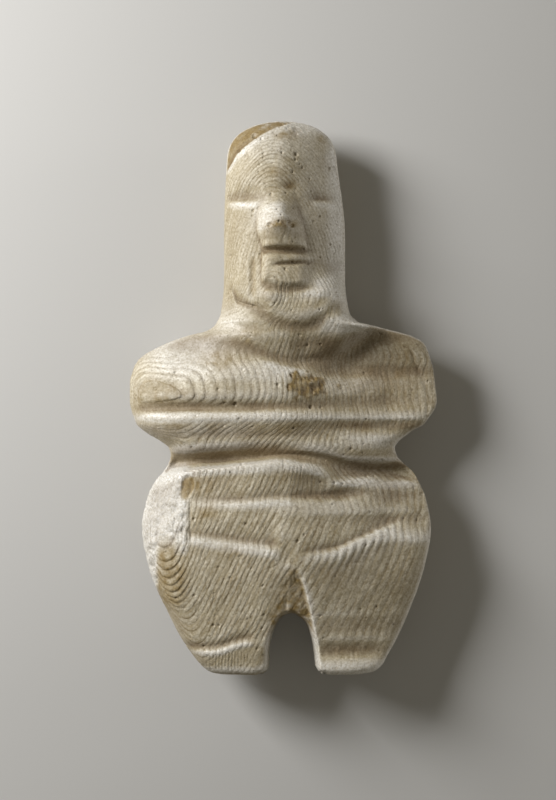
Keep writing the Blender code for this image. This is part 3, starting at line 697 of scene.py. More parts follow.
# %% Layer count at every point
HIP_TILT = ((-22.0, 2.3), (-16.0, 1.9), (-11.0, 1.4), (-4.0, 1.27), (0.0, 0.9), (4.0, 0.6), (22.0, 0.5))
CHEST_TILT = ((-22.0, 1.6), (-17.0, 1.0), (-13.0, 0.75), (-7.0, 0.85), (0.0, 1.15), (8.0, 1.1),
              (14.0, 0.9), (22.0, 0.8))
NECK_TILT = ((-22.0, 0.9), (0.0, 1.25), (22.0, 1.1))
HEAD_TILT = ((-22.0, -1.3), (-4.5, -1.1), (-1.7, 0.0), (1.2, 0.9), (22.0, 1.2))
RISE = ((0.0, 0.0), (19.0, 8.2), (24.0, 10.6), (30.0, 13.0), (33.0, 13.3), (37.0, 16.6), (39.0, 17.0),
        (80.0, 17.0))
HEAD_RISE = ((49.0, 0.0), (56.0, 0.0), (68.5, 7.0), (80.0, 22.0))
NOSE_RINGS = 4.5
CHIN_RINGS = 0.95                 # layers per millimetre around the chin
WAVES = ((0.55, 8.0, 1), (0.12, 2.4, 2), (0.06, 0.9, 3))          # layers, size, seed


def lean(tilt, x):
    """How many layers the tilt takes away between the middle of the body and x."""
    line = np.linspace(-23.0, 23.0, 461)
    slope = curve(tilt, line)
    total = np.concatenate([[0.0], np.cumsum((slope[1:] + slope[:-1]) * 0.05)])
    return np.interp(x, line, total - np.interp(0.0, line, total))


def unevenness(x, height, scale, seed):
    """Smooth random values from -0.5 to 0.5, with bumps about as wide as scale."""
    grid = np.random.RandomState(seed).rand(64, 64)
    u, w = x / scale, height / scale
    column, row = np.floor(u).astype(int), np.floor(w).astype(int)
    u, w = ramp(u - column, 0.0, 1.0), ramp(w - row, 0.0, 1.0)
    low = grid[column % 64, row % 64] * (1.0 - u) + grid[(column + 1) % 64, row % 64] * u
    high = grid[column % 64, (row + 1) % 64] * (1.0 - u) + grid[(column + 1) % 64, (row + 1) % 64] * u
    return low * (1.0 - w) + high * w - 0.5


def layer_count(x, height, z):
    head = ramp(height, 49.0, 57.0)
    tilt = lean(HIP_TILT, x)
    chest, neck = ramp(height, 28.0, 38.0), ramp(height, 45.0, 50.0)
    for part, line in ((chest, CHEST_TILT), (neck, NECK_TILT), (head, HEAD_TILT)):
        tilt = tilt + part * (lean(line, x) - tilt)
    rise = curve(RISE, height) - head * curve(HEAD_RISE, height)
    rise = rise - 0.2 * (height - 12.0) * ramp(x, -1.0, 9.0) * ramp(height, 27.0, 19.0)
    rise = rise - 0.55 * np.clip(height - 23.5, 0.0, 6.0) * ramp(x, 0.0, 5.0) * ramp(height, 33.0, 30.0)
    waves = sum(layers * unevenness(x, height, scale, seed) for layers, scale, seed in WAVES)
    per_mm = 1.2 + ramp(x, -11.0, -17.0) * (2.5 - 1.2 * ramp(height, 32.0, 37.0))
    nose = NOSE_RINGS * np.exp(-np.hypot(x, height - 64.6) / 2.6)
    chin = CHIN_RINGS * np.clip(5.0 - np.hypot(x + 2.2, height - 54.7), 0.0, 5.0)
    return per_mm * (z - 5.5) + rise - tilt + waves + (nose + chin) * (z > 0.0)


layer = layer_count(sheets_x, sheets_up, sheets_z)
print("layers cut through:", int(layer.max() - layer.min()))

# %% [markdown]
# ## Steep and high places
#
# Two measures of the sheets steer the wear. Where the surface crosses many layers in
# a millimetre, the rings are too fine to weather out. And a place that lies higher or
# lower than its surroundings is rubbed bare or gets earth and painted shade, so the height
# is compared with a blurred copy of itself.

# %% Layers per millimetre, and height above the surroundings


def layers_per_mm(x, height, z, layer):
    """How many layers the surface crosses in one millimetre, on a sheet of rows and columns."""
    *row, row_layers = [np.gradient(part, axis=-2) for part in (x, height, z, layer)]
    *column, column_layers = [np.gradient(part, axis=-1) for part in (x, height, z, layer)]
    rr = sum(part ** 2 for part in row)
    cc = sum(part ** 2 for part in column)
    rc = sum(a * b for a, b in zip(row, column))
    crossed = cc * row_layers ** 2 - 2.0 * rc * row_layers * column_layers + rr * column_layers ** 2
    return np.sqrt(np.clip(crossed, 0.0, None) / np.maximum(rr * cc - rc ** 2, 1e-9))


def blurred(values, rows_wide, columns_wide):
    """The sheets with each value replaced by the mean around it."""
    for axis, wide in ((-2, rows_wide), (-1, columns_wide)):
        pad = [(0, 0)] * values.ndim
        pad[axis] = (wide, wide)
        total = np.cumsum(np.pad(values, pad, mode="edge"), axis=axis)
        ahead = np.take(total, np.arange(2 * wide, total.shape[axis]), axis=axis)
        behind = np.take(total, np.arange(0, total.shape[axis] - 2 * wide), axis=axis)
        values = (ahead - behind) / (2 * wide)
    return values


steepness_sheets = layers_per_mm(sheets_x, sheets_up, sheets_z, layer)
thickness = np.abs(sheets_z)
around = (int(9 * DENSITY), int(5 * DENSITY))
high_sheets = thickness - blurred(blurred(thickness, *around), *around)
print("hollows lie up to", round(float(-high_sheets.min()), 2), "mm below their surroundings")

# %% [markdown]
# ## One closed body
#
# The sheets become one mesh. Vertices that two sheets share get one number, and a
# strip of rows closes each sole. They are welded by rule instead of by a merge
# distance, because next to the rim even separate vertices lie very close together.

# %% Weld the sheets
ids = np.arange(sheets_x.size).reshape(sheets_x.shape)
ids[2, :, 0] = ids[0, :, 0]
ids[3, :, 0] = ids[1, :, 0]
ids[1, arch:, -1] = ids[0, arch:, -1]
ids[2, :arch + 1, -1] = ids[0, :arch + 1, -1]
ids[3, :arch, -1] = ids[1, :arch, -1]
ids[3, arch:, -1] = ids[2, arch:, -1]
ids[:, -1, :] = ids[0, -1, 0]

down = np.linspace(0.0, 1.0, SOLE_ROWS + 1)[:, None]
soles = []
for side in (0, 1):
    sole_ids = sheets_x.size + np.arange((SOLE_ROWS + 1) * (COLUMNS + 1)).reshape(SOLE_ROWS + 1, COLUMNS + 1)
    sole_ids = sole_ids + side * sole_ids.size
    sole_x = np.broadcast_to(sheets_x[side, 0], sole_ids.shape)
    sole_z = sheets_z[side, 0] + (sheets_z[side + 2, 0] - sheets_z[side, 0]) * down
    sole_ids[0] = ids[side, 0]
    sole_ids[-1] = ids[side + 2, 0]
    sole_ids[:, 0] = ids[side, 0, 0]
    sole_ids[:, -1] = ids[side, 0, -1]
    soles.append((sole_ids, sole_x, sole_z))


def quads(grid, turned):
    """Faces between neighbouring rows of a sheet of vertex numbers."""
    face = np.stack([grid[:-1, :-1], grid[:-1, 1:], grid[1:, 1:], grid[1:, :-1]], axis=-1).reshape(-1, 4)
    return face[:, ::-1] if turned else face


faces = np.concatenate([quads(ids[0], False), quads(ids[1], True), quads(ids[2], True), quads(ids[3], False),
                        quads(soles[0][0], True), quads(soles[1][0], False)])
used, faces = np.unique(faces, return_inverse=True)
faces = faces.reshape(-1, 4)
sole_count = sum(sole[1].size for sole in soles)
x = np.concatenate([sheets_x.ravel()] + [sole[1].ravel() for sole in soles])[used]
height = np.concatenate([sheets_up.ravel(), np.zeros(sole_count)])[used]
z = np.concatenate([sheets_z.ravel()] + [sole[2].ravel() for sole in soles])[used]
steepness = np.concatenate([steepness_sheets.ravel(), np.full(sole_count, 6.0)])[used]
high = np.concatenate([high_sheets.ravel(), np.zeros(sole_count)])[used]
front = z >= 0.0
print(len(x), "vertices after welding")

# %% [markdown]
# ## From numbers to a mesh
#
# At the crown and the rim, welding leaves faces with a corner named twice. Those
# corners are dropped, so a quad becomes a triangle. The smooth body is made only to
# ask Blender for its normals, along which the relief is laid later.


# %% Faces without repeated corners
def corners_and_starts(face):
    """Corner list and first corner of each face, with repeated corners left out."""
    keep = face != np.roll(face, 1, axis=1)
    count = keep.sum(axis=1)
    keep = keep & (count >= 3)[:, None]
    count = count[count >= 3]
    return face[keep], np.concatenate([[0], np.cumsum(count)[:-1]])


def make_mesh(name, points, face):
    corner_list, starts = corners_and_starts(face)
    mesh = bpy.data.meshes.new(name)
    mesh.vertices.add(len(points))
    mesh.vertices.foreach_set("co", points.astype(np.float32).ravel())
    mesh.loops.add(len(corner_list))
    mesh.loops.foreach_set("vertex_index", corner_list.astype(np.int32))
    mesh.polygons.add(len(starts))
    mesh.polygons.foreach_set("loop_start", starts.astype(np.int32))
    mesh.update(calc_edges=True)
    return mesh


def in_frame(x, height, z):
    """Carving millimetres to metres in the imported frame."""
    return np.stack([x * MM, (height - HEIGHT / 2.0) * MM + MIDDLE_Y, (z + REST_DEPTH) * MM], axis=-1)


smooth_body = make_mesh("smooth body", in_frame(x, height, z), faces)
outward = np.zeros(len(x) * 3, np.float32)
smooth_body.vertex_normals.foreach_get("vector", outward)
outward = outward.reshape(-1, 3).astype(float)
facing_up = outward[:, 2]
print("closed body with", len(smooth_body.polygons), "faces")

# %% [markdown]
# ## Places on the body
#
# Wear differs from place to place, so the places come first: the stepped rings on the
# left arm and hip, the groins, the scraped field at the crotch, the lips, and the parts
# that are polished. The polished spots on the left shoulder and the nose also carry a
# painted highlight. Each is a mask from 0 to 1 that later cells use again.

# %% Named places
# Polished spots on the left shoulder and the nose, also a painted highlight.
POLISHED_AND_HIGHLIT = ((0.8, -13.5, 4.5, 46.0, 2.0), (0.7, 0.2, 2.6, 65.0, 1.6))
FIELD_LEFT = ((6.0, -3.0), (9.0, -2.0), (12.0, -0.8), (15.3, 0.7))

facet = crown_facet(x, height) * front
left_arm = bell(x + 16.5, 7.0) * bell(height - 42.0, 3.6) * ramp(height, 38.6, 39.6) * front
left_hip = ramp(np.hypot((x + 16.6) / 3.4, (height - 14.2) / 6.0), 1.15, 0.5) * front
left_groin = bell(height - curve(LEFT_GROIN, x) + 1.2, 0.7)
left_groin = left_groin * ramp(x, -1.5, -3.5) * ramp(x, -14.5, -12.0) * front
left_belly = bell(height - 24.8, 0.6) * ramp(x, 3.0, -2.0) * ramp(x, -13.5, -12.0) * front
right_groin = bell(x - 11.0, 6.0) * bell(height - curve(RIGHT_GROIN, x) + 1.9, 1.6) * front * (x > 3.0)
polished_and_highlit = spots(POLISHED_AND_HIGHLIT, x, height) + facet
polished_and_highlit = polished_and_highlit + 0.75 * ramp(height, 6.2, 4.2) * ramp(x, 3.0, 6.0)
polished_and_highlit = polished_and_highlit + 0.75 * ramp(height, 4.6, 3.8) * ramp(x, 0.0, -3.0)
polished_and_highlit = np.clip(polished_and_highlit, 0.0, 1.0) * front

field_left, field_right = curve(FIELD_LEFT, height), curve(FIELD_RIGHT, height)
field = ramp(x, field_left - 0.5, field_left + 0.9) * ramp(x, field_right + 0.2, field_right - 0.3)
field = field * ramp(height, 5.0, 8.0) * ramp(height, 16.3, 14.8) * front
lips = ramp(x, -3.6, -2.6) * ramp(x, 5.2, 3.6) * ramp(height, 55.2, 56.0) * ramp(height, 64.0, 62.6) * front
print("polished share of the front:", round(float(polished_and_highlit[front].mean()), 3))

# %% [markdown]
# ## Filed grooves and calm places
#
# A file takes the rings away where it passed last, in the groove under the chest and
# at the waist. Elsewhere rings are weaker on the neck and the right side, stronger on
# forehead and chin, and patchy all over.

# %% Strength of the rings
FILED_ARM = ((-20.0, 0.95), (-6.0, 0.9), (0.0, 0.6), (20.0, 0.5))
FILED_LINE = ((-20.0, 38.3), (0.0, 38.5), (20.0, 39.0))
PATCHES = ((0.8, 3.0, 6), (0.7, 0.8, 7), (0.7, 0.4, 8))           # strength, size, seed

filed = curve(FILED_ARM, x) * bell(height - curve(FILED_LINE, x), 1.0)
filed = filed + 0.8 * ramp(height, 29.6, 30.4) * ramp(height, 33.0, 32.2)
filed = filed + 0.9 * bell(height - 36.8, 0.8) * ramp(x, -3.0, -9.0) + 0.6 * left_groin + 0.5 * left_belly
filed = np.clip(filed + 0.7 * bell(height - 19.6, 1.2) * bell(x - 0.2, 1.6), 0.0, 1.0) * front
patchy = 0.8 + sum(strength * unevenness(x, height, scale, seed) for strength, scale, seed in PATCHES)

calm = 1.0 - 0.6 * ramp(height, 45.5, 49.0) - 0.35 * bell(height - 43.0, 3.0) * ramp(x, 2.0, 8.0)
calm = calm - 0.3 * ramp(x, 3.0, 8.0) * ramp(height, 27.0, 22.0)
calm = calm + 0.7 * bell(np.hypot(x + 2.2, height - 54.7), 3.2)
calm = calm - 0.35 * bell(height - 51.2 - 0.06 * x ** 2, 0.9)
calm = calm + 0.45 * ramp(height, 69.0, 70.5) * ramp(x, 3.0, 0.0)
calm = calm + 0.35 * ramp(x, 2.0, 4.0) * ramp(height, 54.0, 57.0)
calm = calm - 0.55 * bell(height - curve(COLLAR, x) + 0.4, 1.3) * ramp(x, -13.0, -8.0) * ramp(x, 8.0, 4.0)

thin = ramp(1.0 / np.maximum(steepness, 0.1), 0.12, 0.65)
ring_strength = thin * np.clip(patchy, 0.15, 1.4) * (1.0 - polished_and_highlit) * (1.0 - filed)
ring_strength = ring_strength * np.where(front, np.clip(calm, 0.1, 1.4), 0.6)
print("mean strength of the rings:", round(float(ring_strength.mean()), 2))

# %% [markdown]
# ## Worn layers
#
# Between two hard layers lies a soft one that weathered back: that is the groove of
# each ring. Some layers are harder than others, so the depth changes from ring to
# ring. Where a dome lost whole layers, as on the left arm stump and the left hip, the
# rings became little steps instead.

# %% Ring relief
GROOVE_DEPTH = 0.04
STEP_DEPTH = 0.15
GROIN_DEPTH = 0.14
HARDNESS_SEED = 5

layer = layer_count(x, height, z)
inside_layer = layer - np.floor(layer)
hardness = np.random.RandomState(HARDNESS_SEED).rand(512)[(np.floor(layer).astype(int) + 200) % 512]
rounded = 0.5 - 0.5 * np.cos(2.0 * np.pi * (inside_layer - 0.5))
ridge = 1.0 - 0.75 * rounded - 0.25 * np.abs(2.0 * inside_layer - 1.0) ** 4
stepped = np.clip(left_arm + 1.1 * left_hip, 0.0, 1.2)
rings = GROOVE_DEPTH * (0.4 + 0.9 * hardness) * (ridge - 1.0) * ring_strength
rings = rings + STEP_DEPTH * stepped * (0.5 - inside_layer) * thin + GROIN_DEPTH * right_groin * (ridge - 1.0)
print("ring relief from", round(float(rings.min()), 3), "to", round(float(rings.max()), 3), "mm")

# %% [markdown]
# ## Pits
#
# Sponges and worms bore holes into shells in the sea, and small grains fall out later.
# Pits are little bowls: a few large ones stand where they matter for the look, the
# rest are scattered with a fixed seed.

# %% Pits
PITS = (                          # x, height, radius, depth
    (-4.1, 77.5, 0.42, 0.28),     # two borings in the facet on the crown
    (-6.4, 75.4, 0.30, 0.20),
    (1.8, 74.8, 0.34, 0.30),      # forehead
    (1.7, 74.0, 0.26, 0.22),
    (2.7, 72.9, 0.26, 0.22),
    (1.3, 72.2, 0.24, 0.20),
    (-0.9, 66.7, 0.16, 0.15),     # nose
    (-2.0, 64.4, 0.36, 0.26),
    (-0.6, 64.9, 0.22, 0.16),
    (0.8, 64.9, 0.26, 0.22),
    (1.3, 64.3, 0.34, 0.28),
    (1.6, 65.3, 0.20, 0.16),
    (-0.3, 65.9, 0.18, 0.14),
    (-4.4, 66.6, 0.26, 0.20),
    (-1.8, 68.9, 0.26, 0.22),
    (5.3, 60.0, 0.18, 0.18),      # right cheek
    (-6.9, 38.9, 0.34, 0.30),     # under the chest
    (3.9, 38.5, 0.32, 0.28),
    (12.0, 36.7, 0.22, 0.18),
    (-0.8, 41.7, 0.28, 0.22),
    (-10.0, 7.2, 0.26, 0.22),     # left knee
    (-9.2, 7.2, 0.22, 0.20),
    (-11.4, 4.1, 0.22, 0.20),
    (-2.9, 13.0, 0.24, 0.20),
    (2.0, 19.4, 0.30, 0.25),
    (3.0, 20.3, 0.22, 0.18),
)


def dig(total, side, at_x, at_height, radius, depth):
    """Add one small bowl to the total, with a steep lip and a flat bottom."""
    near = side & (np.abs(x - at_x) < radius) & (np.abs(height - at_height) < radius)
    away = ((x[near] - at_x) ** 2 + (height[near] - at_height) ** 2) / radius ** 2
    total[near] += depth * np.clip(1.0 - away, 0.0, 1.0) ** 0.8


def scattered_pits(side, count, seed):
    """Small bowls strewn over one side of the figure."""
    dice = np.random.RandomState(seed)
    total = np.zeros_like(x)
    for _ in range(count):
        at_height = dice.uniform(1.0, 78.0)
        left_edge, right_edge = body_edges(np.array(at_height))
        at_x = dice.uniform(left_edge, right_edge)
        radius = 0.10 + 0.16 * dice.rand() ** 2
        dig(total, side, at_x, at_height, radius, 0.7 * radius)
    return total


pits = scattered_pits(front, 260, 11) + scattered_pits(~front, 200, 12)
for pit in PITS:
    dig(pits, front, *pit)
print("deepest pit:", round(float(pits.max()), 2), "mm")

# %% [markdown]
# ## Cracks
#
# Four fine lines: a crack that follows the left of the jaw, a short one over the
# belly, one along the end of the right arm, and the edge of the chalky patch on the
# hip. A crack is a very narrow bell along a curve, cut off by ramps at its ends.

# %% Cracks
JAW_CRACK = ((-7.0, 55.1), (-6.6, 53.7), (-5.3, 53.2), (-3.8, 52.8))
ARM_CRACK = ((36.5, 20.4), (39.9, 21.3), (42.5, 20.2), (44.5, 19.3), (47.0, 18.4))

jaw_crack = bell(height - curve(JAW_CRACK, x), 0.14) * ramp(x, -7.2, -6.8) * ramp(x, -3.6, -4.2)
belly_crack = bell(x - 0.02 * (height - 30.0), 0.12) * ramp(height, 29.4, 30.0) * ramp(height, 31.4, 30.9)
arm_crack = bell(x - curve(ARM_CRACK, height), 0.35) * ramp(height, 36.5, 38.0) * ramp(height, 47.3, 46.3)
hip_crack = bell(x + 13.3 + 0.03 * (height - 22.0), 0.16)
hip_crack = hip_crack * ramp(height, 18.6, 20.0) * ramp(height, 25.4, 24.4)
cracks = (0.16 * jaw_crack + 0.12 * belly_crack + 0.10 * arm_crack + 0.14 * hip_crack) * front
print("cracks are up to", round(float(cracks.max()), 2), "mm deep")

# %% [markdown]
# ## Rough patches
#
# The left hip lost its skin and is white and chalky, with a small smooth dent beside
# it. Smaller rough patches lie on the chest, the neck, the crown, the nose and the
# right foot. They share one grain, which is two layers of fine unevenness.

# %% Chalk and crumbled patches
CHALK_EDGE = ((8.0, -17.6), (11.0, -17.6), (15.0, -17.4), (18.0, -13.6), (30.0, -13.4))

hip_dent = ((x + 13.8 - 0.15 * (height - 26.9)) / 0.95) ** 2 + ((height - 26.9) / 1.9) ** 2
hip_dent = ramp(hip_dent + 0.5 * unevenness(x, height, 0.9, 75), 1.3, 0.5)
chalk_edge = curve(CHALK_EDGE, height)
chalk = ramp(x, chalk_edge + 0.5, chalk_edge - 0.8) * ramp(height, 6.0, 9.0) * ramp(height, 31.0, 29.5)
chalk = chalk * (1.0 - left_hip * ramp(x, -18.6, -17.6)) * (1.0 - hip_dent)
neck_patch = bell(x - 6.6, 1.4) * bell(height - 50.0, 1.1)
crown_patch = bell(x - 0.9, 3.0) * ramp(height, 76.2, 77.8)
chest_patch = bell(x - 3.7, 3.2) * bell(height - 41.7, 1.9) + 0.7 * unevenness(x, height, 0.9, 77)
chest_patch = ramp(chest_patch, 0.33, 0.6)
right_foot = ramp(x, 5.0, 7.5) * ramp(x, 15.5, 13.0) * ramp(height, 5.2, 4.4) * ramp(height, 0.8, 1.6)
nose_tip = bell(x + 0.1, 1.9) * bell(height - 64.6, 0.8)
rough = chalk + neck_patch + crown_patch + chest_patch + 0.7 * right_foot + 0.7 * nose_tip
rough = np.clip(rough, 0.0, 1.0) * front

grain = unevenness(x + 0.6 * height, 0.5 * height - 0.3 * x, 0.3, 21) + unevenness(x, height, 0.6, 22)
grain = 0.11 * grain * (1.0 + unevenness(x, height, 2.2, 23)) * (1.0 + 1.4 * chest_patch + 1.1 * chalk)
grain = grain + 0.14 * chalk * unevenness(x + 0.5 * height, height - 0.5 * x, 1.0, 24)
grain = grain * (0.3 + 0.7 * ramp(facing_up, 0.1, 0.6))
print("roughened share of the front:", round(float(rough[front].mean()), 3))

# %% [markdown]
# ## Tool marks
#
# The scraped field at the crotch shows marks that fan out from its tip, and the left
# foot shows short file strokes. A hand never makes a true surface, so everything gets
# a slight unevenness, stronger on the back, which was worked less.

# %% Tool marks and the whole relief
FAN_X = 0.6                       # the marks fan out from here
FAN_HEIGHT = 16.8

spoke = np.arctan2(x - FAN_X, height - FAN_HEIGHT)
reach = np.hypot(x - FAN_X, height - FAN_HEIGHT)
field_marks = 0.16 * field * unevenness(spoke * 9.0, reach, 0.8, 61)
foot_marks = bell(x + 8.0, 3.6) * ramp(height, 0.3, 1.0) * ramp(height, 3.9, 3.2) * front
foot_marks = 0.03 * foot_marks * np.sin(x * 14.0 + 2.0 * unevenness(x, height, 1.5, 31))
by_hand = 0.22 * unevenness(x, height, 4.5, 41) + 0.10 * unevenness(x, height, 1.7, 42)
by_hand = by_hand * np.where(front, 1.0, 1.5) * ramp(np.abs(z), 0.0, 1.5)
everywhere = 0.035 * unevenness(x, height, 0.45, 51) + 0.03 * unevenness(x, height, 0.24, 52)
everywhere = everywhere * np.where(front, 1.0, 0.4)
relief = rings - pits - cracks - 0.2 * hip_dent * front + rough * grain
relief = relief + everywhere + field_marks + foot_marks + by_hand
print("all relief from", round(float(relief.min()), 2), "to", round(float(relief.max()), 2), "mm")

# %% [markdown]
# ## Earth and painted shade
#
# Earth stayed in what lies low: folds, cracks, pits and the gaps of the grain. The same mask
# also darkens low places as painted shade, and lays painted shade in the waist, in the furrow
# under the chin and in some broad hollows on the shaded right side. The mask is worked out on
# the vertices, where height and slope are known, and the shader reads it.

# %% Where earth and painted shade lie
# The band along the waist, under the forearms, is earth and painted shade.
WAIST_LINE = ((-17.0, 31.3), (0.0, 32.4), (8.0, 30.8), (18.0, 30.6))
WAIST_EARTH_AND_SHADE = ((-17.0, 1.5), (-3.0, 0.9), (3.0, 0.45), (18.0, 0.45))
# Painted shade: the hollow right of the neck, the right chest and the right belly.
PAINTED_SHADE_HOLLOWS = ((1.1, 9.0, 4.2, 46.6, 1.8), (0.6, 14.0, 6.5, 43.0, 4.0), (0.75, 15.3, 3.4, 26.2, 2.1))

# Low places get earth and painted shade alike; cracks and pits get earth.
low_earth_and_shade = np.clip(-high / 0.14, 0.0, 1.0) * np.where(front, 1.0, 0.5) + 2.0 * cracks + 1.5 * pits
low_earth_and_shade = low_earth_and_shade + (chest_patch + nose_tip + 0.6 * crown_patch) * np.clip(-grain / 0.06, 0.0, 1.0)
earth_and_shade_film = curve(WAIST_EARTH_AND_SHADE, x) * bell(height - curve(WAIST_LINE, x), 1.3) + spots(PAINTED_SHADE_HOLLOWS, x, height)
# The furrow under the chin gets a painted shadow.
low_earth_and_shade = low_earth_and_shade + (earth_and_shade_film + 0.3 * facet + 0.6 * under_chin(x, height)) * front
low_earth_and_shade = low_earth_and_shade * (1.0 - field)
low_earth_and_shade = np.clip(low_earth_and_shade * np.where(front, ramp(facing_up, 0.15, 0.7), 1.0), 0.0, 1.0)
print("earth on the front:", round(float(low_earth_and_shade[front].mean()), 2))

# %% [markdown]
# ## Rubbed places and painted highlights
#
# Whatever stands proud was rubbed to a clean pale skin: the crests beside the grooves.
# Some places are made paler as painted highlights: the left shoulder, the left of the neck
# and the nose, the crest of the left forearm, the steep edges of the right side and the
# right of the face. Height above the surroundings gives most of it, and a few named places
# are added.

# %% Where the shell is rubbed, and painted highlights
# Pale ovals on the left shoulder, the left of the neck and the left of the nose: rubbed skin and painted
# highlight.
RUBBED_AND_HIGHLIT = ((1.2, -14.5, 5.0, 46.4, 2.2), (0.7, -8.0, 2.4, 50.6, 2.4), (0.8, -2.8, 1.6, 66.0, 2.2))

off_right_foot = 1.0 - ramp(height, 6.5, 4.5) * ramp(x, 3.0, 5.0)
off_left_foot = 1.0 - ramp(height, 5.0, 4.0) * ramp(x, 0.0, -3.0)
rubbed_and_highlit = np.clip(high / 0.12, 0.0, 1.0) * front * (1.0 - 0.9 * lips)
# Polished places add pale skin; on the left shoulder and the nose this is painted highlight.
rubbed_and_highlit = rubbed_and_highlit + 0.9 * polished_and_highlit * off_right_foot * off_left_foot * (1.0 - facet) * (1.0 - nose_tip)
rubbed_and_highlit = rubbed_and_highlit + spots(RUBBED_AND_HIGHLIT, x, height)
# Steep surfaces of the right half get a painted rim highlight.
rubbed_and_highlit = rubbed_and_highlit + 0.8 * ramp(facing_up, 0.75, 0.4) * ramp(x, 2.0, 6.0) * front
rubbed_and_highlit = rubbed_and_highlit + 0.6 * bell(x - 1.0, 3.0) * ramp(height, 76.8, 78.0)
# The crest of the left forearm gets a painted highlight.
rubbed_and_highlit = rubbed_and_highlit + (0.7 * bell(height - 36.9, 0.6) + 0.5 * bell(height - 35.2, 1.0)) * ramp(x, -2.0, -8.0)
rubbed_and_highlit = rubbed_and_highlit + neck_patch + 0.9 * right_groin * ridge ** 2 + 0.75 * left_groin + 0.45 * left_belly
# The right of the face is made paler: painted light.
rubbed_and_highlit = rubbed_and_highlit + (0.25 * ramp(x, 1.0, 3.5) + 0.6 * ramp(x, 5.6, 7.4)) * ramp(height, 53.0, 56.0) * front
rubbed_and_highlit = rubbed_and_highlit + 0.8 * facet * ramp(facing_up, 0.55, 0.25) + 0.35 * field
rubbed_and_highlit = np.clip(rubbed_and_highlit, 0.0, 1.0)
print("rubbed share of the front:", round(float(rubbed_and_highlit[front].mean()), 2))

# %% [markdown]
# ## Ochre stains
#
# Ochre-coloured stains lie in the facet, the patch on the chest, the field at the crotch and
# many small spots. One broad oval on the right chest is painted shade. A table of ovals is
# quicker to read and to change than painting, and unevenness breaks up the larger ones.

# %% Where ochre stained it, and painted shade on the right chest
STAINS_AND_SHADE = (
    (0.6, -18.0, 2.4, 40.4, 1.5),     # arms and chest
    (0.36, -13.0, 4.5, 40.2, 1.0),
    (0.7, -9.0, 3.0, 45.3, 1.5),
    # Painted shade on the right of the chest.
    (0.35, 14.0, 4.5, 42.0, 4.0),
    (0.9, -12.2, 0.35, 27.3, 1.3),    # beside the dent on the hip
    (0.8, 0.3, 2.2, 77.6, 0.8),       # crown and forehead
    (0.7, 5.6, 0.7, 77.4, 0.6),
    (0.6, -1.4, 1.8, 72.0, 0.8),
    (0.9, 0.9, 0.7, 70.2, 0.6),
    (0.7, -2.0, 0.7, 64.2, 0.7),      # nostrils
    (0.8, 1.2, 0.9, 64.5, 0.7),
    (0.5, -2.2, 1.0, 54.7, 0.9),      # chin
    (0.7, -5.5, 2.0, 48.4, 1.2),      # neck
)
HIP_STAINS = ((1.0, -11.0, 2.6, 27.0, 1.2), (1.0, -11.2, 1.8, 23.4, 1.4), (1.0, -8.0, 3.0, 18.0, 1.0))
BELLY_STAIN = ((1.0, -2.0, 7.0, 28.2, 1.5),)
SIDE_STAIN = ((1.0, 17.5, 1.6, 44.0, 4.0),)

stain_and_shade = spots(STAINS_AND_SHADE, x, height) + 0.5 * cheek_line(x, height, 0.5)
stain_and_shade = stain_and_shade + 0.6 * bell(height - 35.5, 0.9) * (0.5 + 1.2 * unevenness(x, height, 2.0, 71))
stain_and_shade = stain_and_shade + 0.5 * spots(BELLY_STAIN, x, height) * (0.5 + unevenness(x, height, 2.6, 72))
stain_and_shade = stain_and_shade + 0.6 * spots(SIDE_STAIN, x, height) * (0.5 + unevenness(x, height, 1.6, 73))
stain_and_shade = stain_and_shade + 0.8 * spots(HIP_STAINS, x, height) * (0.6 + unevenness(x, height, 1.1, 74))
stain_and_shade = stain_and_shade + 1.2 * chest_patch + 0.85 * field + 0.9 * hip_dent + 0.9 * nose_tip + 0.12 * lips
stain_and_shade = stain_and_shade + 1.6 * facet * ramp(facing_up, 0.25, 0.55) + 0.8 * left_hip * (1.0 - chalk)
stain_and_shade = np.clip(stain_and_shade, 0.0, 1.0) * front
print("stained share of the front:", round(float(stain_and_shade[front].mean()), 2))

# %% [markdown]
# ## The carved and weathered body
#
# Every vertex moves along the surface normal by its relief. A collapse then merges
# the vertices of plain areas and keeps them where a ring, a pit or a fold needs them.
# The masks ride along as attributes.

# %% Move, then simplify
TRIANGLES = 192000


def simplified(mesh, name, triangles):
    """A copy of the mesh with about this many triangles, keeping its attributes."""
    item = bpy.data.objects.new("to simplify", mesh)
    bpy.context.scene.collection.objects.link(item)
    collapse = item.modifiers.new("collapse", "DECIMATE")
    collapse.ratio = min(1.0, triangles / (len(mesh.loops) - 2 * len(mesh.polygons)))
    collapse.use_collapse_triangulate = True
    result = bpy.data.meshes.new_from_object(item.evaluated_get(bpy.context.evaluated_depsgraph_get()))
    result.name = name
    bpy.data.objects.remove(item)
    return result


points = in_frame(x, height, z) + outward * (relief * MM)[:, None]
points[:, 2] = np.maximum(points[:, 2], 0.0)
carved = make_mesh("carved body", points, faces)
for name, values in (("layer", layer), ("ring_strength", ring_strength), ("low_earth_and_shade", low_earth_and_shade), ("stain_and_shade", stain_and_shade),
                     ("chalk", chalk * front), ("rubbed_and_highlit", rubbed_and_highlit)):
    attribute = carved.attributes.new(name, "FLOAT", "POINT")
    attribute.data.foreach_set("value", values.astype(np.float32))
body_mesh = simplified(carved, "idol", TRIANGLES)
body_mesh.shade_smooth()
idol = bpy.data.objects.new("idol", body_mesh)
bpy.context.scene.collection.objects.link(idol)
bpy.data.meshes.remove(carved)
bpy.data.meshes.remove(smooth_body)
print("idol:", len(body_mesh.vertices), "vertices,", len(body_mesh.polygons), "triangles")

# %% [markdown]
# ## The look of old shell
#
# Shell is a creamy white that burial turned to ivory and grey-beige. Three effects
# are built as groups, so each can be used again: the growth rings, the pores, and
# earth with painted shade in low places. They give masks and heights; the surface shader
# itself is one Principled BSDF. A few helpers keep the wiring short.


